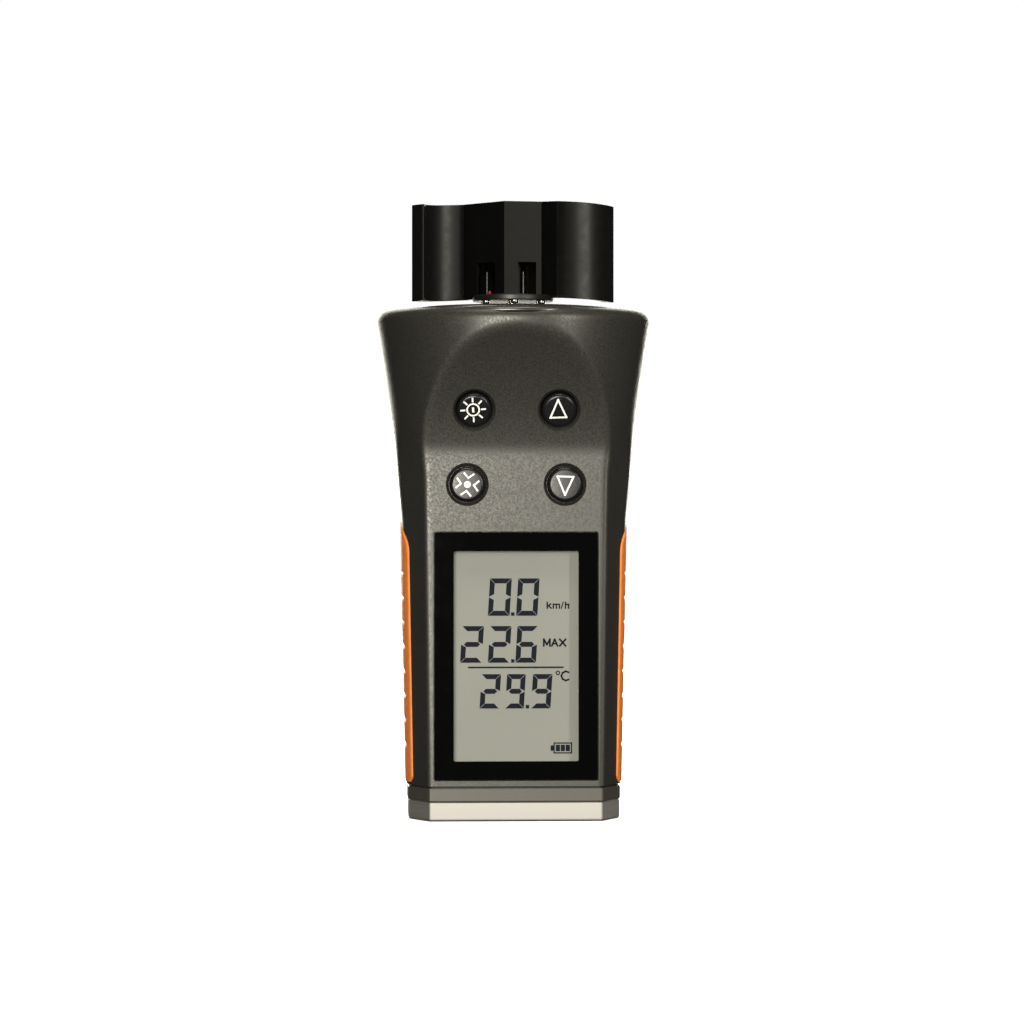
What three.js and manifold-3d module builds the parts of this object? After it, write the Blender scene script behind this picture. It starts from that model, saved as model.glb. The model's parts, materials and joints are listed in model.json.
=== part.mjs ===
// Handheld wind meter: a vertical-axis rotor with two curved blades turns on a slim keypad housing
// with a tall display, rubber side grips and a metal end cap.
//
// Units are millimetres. +Z is up along the rotor's axis, +X is the user's right, and the display
// faces -Y. The origin is at the centre of the end cap's underside.

import * as THREE from 'three';
import { mergeVertices } from 'three/addons/utils/BufferGeometryUtils.js';
import Module from 'manifold-3d';

const wasm = await Module();
wasm.setup();

// ---------------------------------------------------------------------------------------------
// Driving dimensions
// ---------------------------------------------------------------------------------------------

const FIT = 0.3; // clearance between pieces that sit in or on each other
const SEAM = 0.05; // clearance between flat faces that are stacked
const QUARTER_TURN = Math.PI / 2;

// Stack of the lower end
const CAP_TOP = 5.1;
const BAND_TOP = 8.7;
const SHELL_BOTTOM = 9.2;
const SOCKET_BORE = 3.1; // the tripod socket's ring
const SOCKET_RADIUS = 5;
const SOCKET_BOTTOM = 0.3;
const SOCKET_TOP = 5.9;

// Housing outline seen from the front
const BASE_HALF_WIDTH = 28.1;
const SIDE_TAPER = 0.02; // growth of the half-width per millimetre below the waist
const WAIST_HEIGHT = 78.8;
const FLARE_SLOPE = 0.078;
const FLARE_CURVE = 0.00093;
const SHOULDER_HEIGHT = 131.3;
const SHOULDER_RADIUS = 3;
const HOUSING_TOP = SHOULDER_HEIGHT + SHOULDER_RADIUS;

// Housing section: chamfered below, elliptical under the rotor
const FACE_DEPTH = 17; // from the mid-plane to the flat front
const FACE_HALF_WIDTH = 22.8;
const FACE_TAPER = 0.0125;
const CHAMFER_START = 6.6; // from the mid-plane to the side edge of the chamfer
const LOFT_DEPTH = 30; // the loft runs past the faces, which are cut afterwards
const ELLIPSE_DEPTH = 28.3;
const ELLIPSE_GROWTH = 1.2;
const BLEND_START = 86;
const BLEND_END = 108;
const BROW_HEIGHT = 97; // where the flat front starts to lean forward
const BROW_SLOPE = 0.2;
const BROW_CURVE = 0.0058;

// How closely the housing's surface is followed: height between rings, and steps in each quarter
const FINE = { pitch: 6.6, steps: 8 };
const COARSE = { pitch: 13.2, steps: 4 };

// Shells
const WALL = 2.6;
const CAVITY_BOTTOM = 11.4;
const CAVITY_TOP = 130;
const SHELL_GAP = 0.15; // from the mid-plane to each shell's edge

// Head cap
const CAP_RADIUS = 29;
const CAP_SEAT = 132.6;
const CAP_RIM = 133.4;
const CAP_CROWN = 135;
const CAP_CENTRE = 135.2;
const CAP_BEVEL = 5;

// Grips
const GRIP_BOTTOM = 9.7;
const GRIP_TOP = 78.2;
const GRIP_HALF_DEPTH = 9.4;
const GRIP_ROUND = 8; // height of the rounded upper end
const GRIP_CLIP = 1.5;
const GRIP_THICKNESS = 1.2;
const GRIP_PROUD = 0.3;
const GROOVE_START = 19.6;
const GROOVE_PITCH = 6.45;
const GROOVE_COUNT = 8;
const GROOVE_WIDTH = 0.9;
const GROOVE_DEPTH = 0.5;
const GROOVE_REACH = 7.2; // from the mid-plane to a groove's end

// Window and display
const WINDOW_CENTRE = 43.2;
const WINDOW_WIDTH = 42.8;
const WINDOW_HEIGHT = 64.8;
const WINDOW_THICKNESS = 1.1;
const WINDOW_CORNER = 0.4;
const FRAME_CORNER = 1.2; // of the seal and of the frame round the display
const SEAL_THICKNESS = 0.35;
const SEAL_RELIEF = 0.8; // how much larger the seal's opening is than the view
const VIEW_WIDTH = 34.4;
const VIEW_HEIGHT = 56.8;
const LCD_WIDTH = 35.6;
const LCD_HEIGHT = 57.6;
const LCD_FRONT = -14.1;
const LCD_THICKNESS = 1.8;
const LCD_CORNER = 0.6;
const LCD_CENTRE = 43.6;
const FRAME_OUTER = [37.6, 57.6];
const FRAME_INNER = [33, 53.6];
const BACKLIGHT_SIZE = [32.4, 53];
const BACKLIGHT_THICKNESS = 2.4;

// Circuit board
const BOARD_FRONT = -7.6;
const BOARD_THICKNESS = 1.6;
const BOARD_HALF_WIDTH = 16.8;
const BOARD_BOTTOM = 17;
const BOARD_TOP = 116;
const CHIP_THICKNESS = 1.4;
const CHIP_HALF_WIDTH = 5;
const CHIP_BOTTOM = 68;
const SENSOR_BOARD = [[-7, -12, 125.6], [7, -3, 126.8]];
const HALL_SENSOR = [[-2, -10, 126.85], [2, -7, 128.4]];
const THERMISTOR = { x: 5, y: -5.2, radius: 1.2, low: 126.85, high: 129 };

// Buttons: name, place on the front, and the length of the stem behind the surface
const BUTTONS = [
  { name: 'power', x: -11.1, z: 107.5, stem: 6.8 },
  { name: 'up', x: 11.1, z: 107.5, stem: 6.8 },
  { name: 'rotor', x: -12.8, z: 88.1, stem: 4.1 },
  { name: 'down', x: 12.8, z: 88.1, stem: 4.1 },
];
const BUTTON_RADIUS = 4.6;
const BUTTON_FACE_RADIUS = 3.7;
const BUTTON_PROUD = 0.9;
const BUTTON_HOLE = 4.85;
const BUTTON_DISH = 5.6;
const BUTTON_DISH_DEPTH = 0.9;
const BUTTON_FLANGE = 5.3;
const BUTTON_FLANGE_TOP = -3.0;
const BUTTON_FLANGE_THICKNESS = 0.8;
const BUTTON_SHOULDER = 0.6; // height of the slope between a cap's side and its face
const BUTTON_CROWN = 0.1;
const STEM_RADIUS = 1.6;
const SWITCH_HEIGHT = 3.2;
const SWITCH_HALF_WIDTH = 3;
const PLUNGER_RADIUS = 1.7;
const PLUNGER_PROUD = 0.7;

// Batteries
const CELL_RADIUS = 5.25;
const CELL_SPACING = 12.4;
const CELL_BOTTOM = 14;
const CELL_TOP = 57.5;
const CELL_DEPTH = 5.2; // of the cells' axes behind the mid-plane
const CELL_NUB_RADIUS = 1.9;
const CELL_NUB_HEIGHT = 1;
const HOLDER_WALL = 1.2;
const HOLDER_BOTTOM = 13.6;
const HOLDER_TOP = 60.4;
const HOLDER_FLOOR = 58.8; // where the bores for the cells end
const HOLDER_BORE = 5.5;
const CONTACT_RADIUS = 3.6;
const CONTACT_THICKNESS = 0.5;
const SPRING_WIRE = 0.4;
const SPRING_FOOT = 3.6; // radius of a spring's lowest turn
const SPRING_TIP = 2;
const SPRING_OPENING = 0.8; // room beside the cells where the springs pass through

// Rotor
const BLADE_TOP = 163.4;
const BLADE_BOTTOM = 137.8;
const BLADE_ARCH = 1.1; // how far the blades' ends drop below the hub
const BLADE_SPAN = 27;
const HUB_DISC_RADIUS = 10.8;
const HUB_DISC_BOTTOM = 136.8;
const HUB_CAVITY_TOP = 158;
const HUB_CORNER = [-2.5, -3.7]; // where the slanting wall meets the flat one
const HUB_SLANT = 43.6; // degrees
const SLOT_HEIGHT = 9.4;
const POST_RADIUS = 1.2;
const POST_BORE = 3; // the hole for the post in the housing's roof
const POST_FOOT_RADIUS = 4.2;
const POST_FOOT_BOTTOM = 127;
const POST_FOOT_TOP = 128.4;
const DISC_TOP = BLADE_BOTTOM + 0.6;
const JEWEL_TOP = HUB_CAVITY_TOP + 3.5;
const BEARING_BORE = 1.26;
const BEARING_RADIUS = 1.75;
const MAGNET_COUNT = 6;
const MAGNET_RADIUS = 1.1;
const MAGNET_RING = 8.5;
const MAGNET_BOTTOM = 135.9;
const MAGNET_TOP = 137.95;

// ---------------------------------------------------------------------------------------------
// Finishes
// ---------------------------------------------------------------------------------------------

function finish(color, roughness, metalness) {
  return new THREE.MeshStandardMaterial({ color, roughness, metalness });
}

const FINISHES = {
  housing: finish(0x55534e, 0.38, 0.45),
  band: finish(0x6a6863, 0.5, 0.1),
  endCap: finish(0xb9b7b3, 0.3, 1),
  grip: finish(0xd87023, 0.6, 0),
  window: finish(0x0b0b0c, 0.1, 0),
  display: finish(0xa6a596, 0.5, 0),
  blackPlastic: finish(0x151413, 0.35, 0),
  button: finish(0x0e0e0e, 0.25, 0),
  steel: finish(0xc2c2c2, 0.3, 1),
  brass: finish(0xc9a24b, 0.35, 1),
  board: finish(0x1f5a34, 0.55, 0),
  rubber: finish(0x2a2a2a, 0.8, 0),
  whitePlastic: finish(0xe6e6e2, 0.5, 0),
  cell: finish(0x3b4a78, 0.4, 0.3),
  jewel: finish(0x9c1f35, 0.1, 0),
};

// ---------------------------------------------------------------------------------------------
// Solids: three.js shapes turned into manifolds so that they can be joined and cut
// ---------------------------------------------------------------------------------------------

function toSolid(geometry) {
  const bare = geometry.index ? geometry.toNonIndexed() : geometry.clone();
  bare.deleteAttribute('normal');
  bare.deleteAttribute('uv');
  const merged = mergeVertices(bare, 1e-4);
  return new wasm.Manifold(
    new wasm.Mesh({
      numProp: 3,
      vertProperties: new Float32Array(merged.attributes.position.array),
      triVerts: new Uint32Array(merged.index.array),
    }),
  );
}

function toGeometry(solid) {
  const mesh = solid.getMesh();
  const geometry = new THREE.BufferGeometry();
  geometry.setAttribute('position', new THREE.BufferAttribute(mesh.vertProperties, 3));
  geometry.setIndex(new THREE.BufferAttribute(mesh.triVerts, 1));
  geometry.computeVertexNormals();
  return geometry;
}

// A box between two corners.
function block([x0, y0, z0], [x1, y1, z1]) {
  const geometry = new THREE.BoxGeometry(x1 - x0, y1 - y0, z1 - z0);
  geometry.translate((x0 + x1) / 2, (y0 + y1) / 2, (z0 + z1) / 2);
  return toSolid(geometry);
}

// A solid of revolution about Z from [radius, height] points.
function turned(profile, segments = 24, matrix = null) {
  const points = profile.map(([radius, height]) => new THREE.Vector2(radius, height));
  const geometry = new THREE.LatheGeometry(points, segments);
  geometry.rotateX(QUARTER_TURN);
  if (matrix) geometry.applyMatrix4(matrix);
  return toSolid(geometry);
}

function diskProfile(radius, low, high) {
  return [[0, low], [radius, low], [radius, high], [0, high]];
}

function ringProfile(inner, outer, low, high) {
  return [[inner, low], [outer, low], [outer, high], [inner, high], [inner, low]];
}

// A cylinder along Z through (x, y).
function rodUp(x, y, radius, low, high, segments = 12) {
  return turned(diskProfile(radius, low, high), segments, new THREE.Matrix4().makeTranslation(x, y, 0));
}

// Places a solid of revolution so that its own +Z points from front to back.
function facingBack(x, z) {
  const matrix = new THREE.Matrix4().makeRotationX(-QUARTER_TURN);
  return matrix.premultiply(new THREE.Matrix4().makeTranslation(x, 0, z));
}

// A cylinder along Y through (x, z).
function rodBack(x, z, radius, front, back, segments = 12) {
  return turned(diskProfile(radius, front, back), segments, facingBack(x, z));
}

function extruded(shape, depth, matrix) {
  const geometry = new THREE.ExtrudeGeometry(shape, { depth, bevelEnabled: false, curveSegments: 3 });
  geometry.applyMatrix4(matrix);
  return toSolid(geometry);
}

function shapeOf(points) {
  return new THREE.Shape(points.map(([u, v]) => new THREE.Vector2(u, v)));
}

// An outline of [x, y] points raised along Z.
function raised(points, low, high) {
  return extruded(shapeOf(points), high - low, new THREE.Matrix4().makeTranslation(0, 0, low));
}

// An outline of [y, z] points carried along X.
function carriedAcross(points, left, right) {
  const axes = new THREE.Matrix4().makeBasis(
    new THREE.Vector3(0, 1, 0),
    new THREE.Vector3(0, 0, 1),
    new THREE.Vector3(1, 0, 0),
  );
  axes.setPosition(left, 0, 0);
  return extruded(shapeOf(points), right - left, axes);
}

// A rounded rectangle in the XZ plane, from its front to its back.
function pane(width, height, centre, corner, front, back) {
  const shape = new THREE.Shape();
  const [left, low] = [-width / 2, centre - height / 2];
  const [right, high] = [width / 2, centre + height / 2];
  shape.moveTo(left + corner, low);
  shape.lineTo(right - corner, low);
  shape.quadraticCurveTo(right, low, right, low + corner);
  shape.lineTo(right, high - corner);
  shape.quadraticCurveTo(right, high, right - corner, high);
  shape.lineTo(left + corner, high);
  shape.quadraticCurveTo(left, high, left, high - corner);
  shape.lineTo(left, low + corner);
  shape.quadraticCurveTo(left, low, left + corner, low);
  const axes = new THREE.Matrix4().makeRotationX(QUARTER_TURN);
  axes.setPosition(0, back, 0);
  return extruded(shape, back - front, axes);
}

// A closed skin through rings of points, with flat ends.
function lofted(rings) {
  const count = rings[0].length;
  const vertices = rings.flat().flatMap((point) => point.toArray());
  const faces = [];
  for (let ring = 0; ring < rings.length - 1; ring += 1) {
    for (let index = 0; index < count; index += 1) {
      const next = (index + 1) % count;
      const [a, b] = [ring * count + index, ring * count + next];
      faces.push(a, b, b + count, a, b + count, a + count);
    }
  }
  const last = (rings.length - 1) * count;
  for (let index = 1; index < count - 1; index += 1) {
    faces.push(0, index + 1, index);
    faces.push(last, last + index, last + index + 1);
  }
  const geometry = new THREE.BufferGeometry();
  geometry.setAttribute('position', new THREE.Float32BufferAttribute(vertices, 3));
  geometry.setIndex(faces);
  return toSolid(geometry);
}

const joined = (solids) => solids.reduce((whole, solid) => whole.add(solid));
const cutBy = (solid, cutters) => cutters.reduce((rest, cutter) => rest.subtract(cutter), solid);

// ---------------------------------------------------------------------------------------------
// Housing surface
// ---------------------------------------------------------------------------------------------

function halfWidth(height) {
  const flare = Math.max(0, height - WAIST_HEIGHT);
  const taper = SIDE_TAPER * Math.min(height, WAIST_HEIGHT);
  return BASE_HALF_WIDTH + taper + FLARE_SLOPE * flare + FLARE_CURVE * flare * flare;
}

// Distance from the mid-plane to the front face, and how fast it grows with height.
function faceDepth(height) {
  const rise = Math.max(0, height - BROW_HEIGHT);
  return FACE_DEPTH + BROW_SLOPE * rise + BROW_CURVE * rise * rise;
}

function faceLean(height) {
  return height > BROW_HEIGHT ? BROW_SLOPE + 2 * BROW_CURVE * (height - BROW_HEIGHT) : 0;
}

// Distance from the axis to the chamfered section's edge.
function chamferedRadius(angle, height) {
  const across = Math.abs(Math.cos(angle));
  const along = Math.abs(Math.sin(angle));
  const side = halfWidth(height);
  const run = side - (FACE_HALF_WIDTH + FACE_TAPER * height);
  const drop = FACE_DEPTH - CHAMFER_START;
  const chamfer = (drop * side + run * CHAMFER_START) / (drop * across + run * along);
  return Math.min(side / across, chamfer, LOFT_DEPTH / along);
}

function ellipseRadius(angle, height) {
  const growth = THREE.MathUtils.smoothstep(height, BLEND_END, SHOULDER_HEIGHT);
  const depth = ELLIPSE_DEPTH + ELLIPSE_GROWTH * growth;
  return 1 / Math.hypot(Math.cos(angle) / halfWidth(height), Math.sin(angle) / depth);
}

// Angles of one ring: each quarter has a point on the chamfer's edge and even steps beyond it.
function ringAngles(height, steps) {
  const edge = Math.atan2(CHAMFER_START, halfWidth(height));
  const quarter = [0];
  for (let step = 0; step < steps; step += 1) quarter.push(edge + ((QUARTER_TURN - edge) * step) / steps);
  const mirrored = quarter.slice(1).map((angle) => Math.PI - angle).reverse();
  const upper = [...quarter, QUARTER_TURN, ...mirrored];
  return [...upper, ...upper.map((angle) => angle + Math.PI)];
}

function housingRing(height, inset, steps, lift = 0) {
  const roundness = THREE.MathUtils.smoothstep(height, BLEND_START, BLEND_END);
  return ringAngles(height, steps).map((angle) => {
    const square = chamferedRadius(angle, height);
    const round = ellipseRadius(angle, height);
    const radius = THREE.MathUtils.lerp(square, round, roundness) - inset;
    return new THREE.Vector3(radius * Math.cos(angle), radius * Math.sin(angle), height + lift);
  });
}

// The space between the front and back faces, each moved inwards by the inset.
function betweenFaces(inset, low, high, pitch) {
  const heights = [low];
  for (let height = BROW_HEIGHT; height < high; height += pitch) heights.push(height);
  heights.push(high);
  const kept = heights.filter((height) => height >= low && height <= high);
  const back = kept.map((height) => [faceDepth(height) - inset, height]);
  const front = kept.map((height) => [inset - faceDepth(height), height]).reverse();
  return carriedAcross([...back, ...front], -60, 60);
}

// The housing's form between two heights, moved inwards by the inset.
function housingForm(inset, low, high, detail = FINE) {
  const heights = [low];
  for (let height = WAIST_HEIGHT; height < Math.min(high, SHOULDER_HEIGHT - 1); height += detail.pitch) {
    heights.push(height);
  }
  heights.push(Math.min(high, SHOULDER_HEIGHT));
  const rings = heights.map((height) => housingRing(height, inset, detail.steps));
  if (high > SHOULDER_HEIGHT) {
    for (const turn of [30, 60, 90]) {
      const angle = THREE.MathUtils.degToRad(turn);
      const shoulderInset = inset + SHOULDER_RADIUS * (1 - Math.cos(angle));
      const lift = SHOULDER_RADIUS * Math.sin(angle);
      rings.push(housingRing(SHOULDER_HEIGHT, shoulderInset, detail.steps, lift));
    }
  }
  return lofted(rings).intersect(betweenFaces(inset, low - 1, HOUSING_TOP + 3, detail.pitch));
}

// The chamfered outline of the lower end, moved inwards by the inset.
function endOutline(inset, halfDepth = FACE_DEPTH) {
  const side = BASE_HALF_WIDTH - 0.2 - inset;
  const face = FACE_HALF_WIDTH - 0.1 - inset * 0.6;
  const depth = halfDepth - inset;
  const edge = CHAMFER_START - inset * 0.2;
  return [
    [side, -edge], [side, edge], [face, depth], [-face, depth],
    [-side, edge], [-side, -edge], [-face, -depth], [face, -depth],
  ];
}

// ---------------------------------------------------------------------------------------------
// The assembly
// ---------------------------------------------------------------------------------------------

const meter = new THREE.Group();

function addPart(name, solid, material) {
  const mesh = new THREE.Mesh(toGeometry(solid), material);
  mesh.name = name;
  meter.add(mesh);
}

// Places a turned solid on the front face: its own +Z points out of the surface at (x, z).
function onFace(x, z) {
  const matrix = new THREE.Matrix4().makeRotationX(QUARTER_TURN + Math.atan(faceLean(z)));
  return matrix.premultiply(new THREE.Matrix4().makeTranslation(x, -faceDepth(z), z));
}

// Screws: [x, z] of the ones through the back, and [x, y] of the ones through the end cap.
const REAR_SCREWS = [[-19.5, 12.6], [19.5, 12.6], [-20, 84], [20, 84]];
const BASE_SCREWS = [[-23.2, -8], [23.2, -8], [-23.2, 8], [23.2, 8]];
const REAR_SCREW = { head: 2.5, hole: 1.25, shank: 1.05, boss: 2.6, recess: 15.6, tip: -6 };
const BASE_SCREW = { head: 2.3, hole: 1.25, shank: 1.05, boss: 2.5, recess: 1.8, tip: 15.5 };

// A grip's outline in the YZ plane: straight edges, a rounded upper end and clipped lower corners.
function gripOutline(margin) {
  const half = GRIP_HALF_DEPTH + margin;
  const [low, high] = [GRIP_BOTTOM - margin, GRIP_TOP + margin];
  const outline = [[GRIP_CLIP - half, low], [half - GRIP_CLIP, low], [half, low + GRIP_CLIP]];
  const steps = 10;
  for (let step = 0; step <= steps; step += 1) {
    const angle = (Math.PI * step) / steps;
    outline.push([half * Math.cos(angle), high - GRIP_ROUND * (1 - Math.sin(angle))]);
  }
  outline.push([-half, low + GRIP_CLIP]);
  return outline;
}

function gripZone(side, margin) {
  const [left, right] = side < 0 ? [-40, -20] : [20, 40];
  return carriedAcross(gripOutline(margin), left, right);
}

// Slots that part the outer face of both grips into pads.
function gripGrooves() {
  const layer = housingForm(-2, GRIP_BOTTOM, GRIP_TOP).subtract(
    housingForm(GROOVE_DEPTH - GRIP_PROUD, GRIP_BOTTOM - 1, GRIP_TOP + 1),
  );
  const slabs = Array.from({ length: GROOVE_COUNT }, (_, index) => {
    const height = GROOVE_START + GROOVE_PITCH * index;
    const half = GROOVE_WIDTH / 2;
    return block([-40, -GROOVE_REACH, height - half], [40, GROOVE_REACH, height + half]);
  });
  return layer.intersect(joined(slabs));
}

function addGrips() {
  const low = GRIP_BOTTOM - 1;
  const high = GRIP_TOP + 1;
  const skin = housingForm(-GRIP_PROUD, low, high).subtract(housingForm(GRIP_THICKNESS, low - 1, high + 1));
  const pads = skin.subtract(gripGrooves());
  addPart('left_grip', pads.intersect(gripZone(-1, 0)), FINISHES.grip);
  addPart('right_grip', pads.intersect(gripZone(1, 0)), FINISHES.grip);
}

function gripPockets() {
  const low = GRIP_BOTTOM - 1;
  const high = GRIP_TOP + 1;
  const skin = housingForm(-2, low, high).subtract(housingForm(GRIP_THICKNESS + FIT, low - 1, high + 1));
  return [skin.intersect(gripZone(-1, FIT)), skin.intersect(gripZone(1, FIT))];
}

function buttonOpening({ x, z }) {
  const profile = [
    [0, -9], [BUTTON_HOLE, -9], [BUTTON_HOLE, -BUTTON_DISH_DEPTH],
    [BUTTON_DISH, 0], [BUTTON_DISH, 3], [0, 3],
  ];
  return turned(profile, 18, onFace(x, z));
}

// The opening that the battery springs pass through.
function springOpening(front, low, high) {
  const half = CELL_SPACING / 2 + CELL_RADIUS + SPRING_OPENING;
  return block([-half, front, low], [half, CELL_DEPTH + CELL_RADIUS + SPRING_OPENING, high]);
}

function shellBody() {
  const outer = housingForm(0, SHELL_BOTTOM, HOUSING_TOP);
  const cavity = housingForm(WALL, CAVITY_BOTTOM, CAVITY_TOP, COARSE);
  const bosses = [
    ...REAR_SCREWS.map(([x, z]) => rodBack(x, z, REAR_SCREW.boss, -FACE_DEPTH + 1, FACE_DEPTH - 1)),
    ...BASE_SCREWS.map(([x, y]) => rodUp(x, y, BASE_SCREW.boss, SHELL_BOTTOM + 1, 17)),
  ];
  const hollow = cavity.subtract(joined(bosses));
  return cutBy(outer, [
    hollow,
    ...gripPockets(),
    turned(diskProfile(CAP_RADIUS + FIT, CAP_SEAT, HOUSING_TOP + 2), 44),
    rodUp(0, 0, POST_BORE, CAVITY_TOP - 1, CAP_SEAT + 1),
    springOpening(-0.6, SHELL_BOTTOM - 1, CAVITY_BOTTOM + 1),
    ...REAR_SCREWS.map(([x, z]) => rodBack(x, z, REAR_SCREW.head + FIT, REAR_SCREW.recess, 30)),
    ...REAR_SCREWS.map(([x, z]) => rodBack(x, z, REAR_SCREW.hole, REAR_SCREW.tip - 1, 30)),
    ...BASE_SCREWS.map(([x, y]) => rodUp(x, y, BASE_SCREW.hole, 8, BASE_SCREW.tip + 0.5)),
  ]);
}

function addShells() {
  const body = shellBody();
  const frontHalf = block([-60, -60, 0], [60, -SHELL_GAP, 200]);
  const backHalf = block([-60, SHELL_GAP, 0], [60, 60, 200]);
  const pocketDepth = WINDOW_THICKNESS + SEAL_THICKNESS + 2 * SEAM;
  const windowPocket = pane(
    WINDOW_WIDTH + FIT, WINDOW_HEIGHT + FIT, WINDOW_CENTRE, WINDOW_CORNER, -30, -FACE_DEPTH + pocketDepth,
  );
  const viewOpening = pane(VIEW_WIDTH, VIEW_HEIGHT, WINDOW_CENTRE, WINDOW_CORNER, -30, -10);
  const front = cutBy(body.intersect(frontHalf), [windowPocket, viewOpening, ...BUTTONS.map(buttonOpening)]);
  addPart('front_shell', front, FINISHES.housing);
  addPart('rear_shell', body.intersect(backHalf), FINISHES.housing);
}

function addHeadCap() {
  const low = CAP_SEAT + FIT;
  const bevelRise = CAP_CROWN - CAP_RIM;
  const profile = [[POST_RADIUS + SEAM, low], [CAP_RADIUS, low]];
  for (const turn of [0, 30, 60, 90]) {
    const angle = THREE.MathUtils.degToRad(turn);
    const radius = CAP_RADIUS - CAP_BEVEL * (1 - Math.cos(angle));
    profile.push([radius, CAP_RIM + bevelRise * Math.sin(angle)]);
  }
  profile.push([8, CAP_CENTRE], [POST_RADIUS + SEAM, CAP_CENTRE], [POST_RADIUS + SEAM, low]);
  addPart('head_cap', turned(profile, 44), FINISHES.housing);
}

function addLowerEnd() {
  const relief = 0.5;
  const capSolid = raised(endOutline(relief), 0, relief).add(raised(endOutline(0.05), relief, CAP_TOP));
  const cap = cutBy(capSolid, [
    rodUp(0, 0, SOCKET_RADIUS + 0.1, -1, CAP_TOP + 1, 18),
    ...BASE_SCREWS.map(([x, y]) => rodUp(x, y, BASE_SCREW.head + FIT, -1, BASE_SCREW.recess)),
    ...BASE_SCREWS.map(([x, y]) => rodUp(x, y, BASE_SCREW.hole, 0, CAP_TOP + 1)),
  ]);
  addPart('end_cap', cap, FINISHES.endCap);

  const screwHoles = BASE_SCREWS.map(([x, y]) => rodUp(x, y, BASE_SCREW.hole, 4, 12));
  const band = cutBy(raised(endOutline(-0.15), CAP_TOP + SEAM, BAND_TOP), [
    springOpening(-7, CAP_TOP - 1, BAND_TOP + 1),
    ...screwHoles,
  ]);
  addPart('end_band', band, FINISHES.band);

  const gasket = cutBy(raised(endOutline(1), BAND_TOP + SEAM, SHELL_BOTTOM - SEAM), [
    springOpening(-7, BAND_TOP - 1, SHELL_BOTTOM + 1),
    ...screwHoles,
  ]);
  addPart('end_gasket', gasket, FINISHES.rubber);

  const socket = turned(ringProfile(SOCKET_BORE, SOCKET_RADIUS, SOCKET_BOTTOM, SOCKET_TOP), 18);
  addPart('tripod_socket', socket, FINISHES.brass);
}

// A pan-head screw with a slot. Its head is at low heights and its tip at high ones.
function screwSolid({ head, shank, tip, seat, headHeight }) {
  const top = seat - headHeight;
  const bodySolid = turned([
    [0, top], [head * 0.8, top], [head, seat - headHeight / 2], [head, seat],
    [shank, seat], [shank, tip], [0, tip],
  ], 10);
  const slot = head * 0.15;
  return bodySolid.subtract(block([-head - 1, -slot, top - 1], [head + 1, slot, top + headHeight * 0.4]));
}

function addScrews() {
  const headHeight = 1.2;
  const base = screwSolid({ ...BASE_SCREW, seat: BASE_SCREW.recess - SEAM, headHeight });
  BASE_SCREWS.forEach(([x, y], index) => {
    addPart(`base_screw_${index + 1}`, base.translate([x, y, 0]), FINISHES.steel);
  });
  const [tip, seat] = [-REAR_SCREW.tip, -REAR_SCREW.recess - SEAM];
  const rear = screwSolid({ ...REAR_SCREW, tip, seat, headHeight });
  REAR_SCREWS.forEach(([x, z], index) => {
    addPart(`rear_screw_${index + 1}`, rear.rotate([90, 0, 0]).translate([x, 0, z]), FINISHES.steel);
  });
}

function frameOf(outer, inner, centre, front, back) {
  const solid = pane(...outer, centre, FRAME_CORNER, front, back);
  return solid.subtract(pane(...inner, centre, FRAME_CORNER, front - 1, back + 1));
}

function addDisplay() {
  const paneBack = -FACE_DEPTH + WINDOW_THICKNESS;
  const glass = pane(WINDOW_WIDTH, WINDOW_HEIGHT, WINDOW_CENTRE, WINDOW_CORNER, -FACE_DEPTH, paneBack);
  addPart('display_window', glass, FINISHES.window);
  const sealFront = paneBack + SEAM;
  const seal = frameOf(
    [WINDOW_WIDTH - 2 * FIT, WINDOW_HEIGHT - 2 * FIT], [VIEW_WIDTH + SEAL_RELIEF, VIEW_HEIGHT + SEAL_RELIEF],
    WINDOW_CENTRE, sealFront, sealFront + SEAL_THICKNESS,
  );
  addPart('window_seal', seal, FINISHES.rubber);

  const lcdBack = LCD_FRONT + LCD_THICKNESS;
  const panel = pane(LCD_WIDTH, LCD_HEIGHT, LCD_CENTRE, LCD_CORNER, LCD_FRONT, lcdBack);
  addPart('lcd_panel', panel, FINISHES.display);
  const frameBack = BOARD_FRONT - FIT;
  const frame = frameOf(FRAME_OUTER, FRAME_INNER, LCD_CENTRE, lcdBack + FIT, frameBack);
  addPart('lcd_frame', frame, FINISHES.whitePlastic);
  const lightBack = lcdBack + FIT + BACKLIGHT_THICKNESS;
  const light = pane(...BACKLIGHT_SIZE, LCD_CENTRE, LCD_CORNER, lcdBack + FIT, lightBack);
  addPart('backlight_panel', light, FINISHES.whitePlastic);
}

function addElectronics() {
  const boardBack = BOARD_FRONT + BOARD_THICKNESS;
  const board = block(
    [-BOARD_HALF_WIDTH, BOARD_FRONT, BOARD_BOTTOM],
    [BOARD_HALF_WIDTH, boardBack, BOARD_TOP],
  );
  addPart('circuit_board', board, FINISHES.board);
  const chipFront = boardBack + SEAM;
  const chip = block(
    [-CHIP_HALF_WIDTH, chipFront, CHIP_BOTTOM],
    [CHIP_HALF_WIDTH, chipFront + CHIP_THICKNESS, CHIP_BOTTOM + 2 * CHIP_HALF_WIDTH],
  );
  addPart('processor_chip', chip, FINISHES.blackPlastic);
  addPart('sensor_board', block(...SENSOR_BOARD), FINISHES.board);
  addPart('hall_sensor', block(...HALL_SENSOR), FINISHES.blackPlastic);
  const { x, y, radius, low, high } = THERMISTOR;
  addPart('temperature_sensor', rodUp(x, y, radius, low, high), FINISHES.blackPlastic);
}

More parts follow.
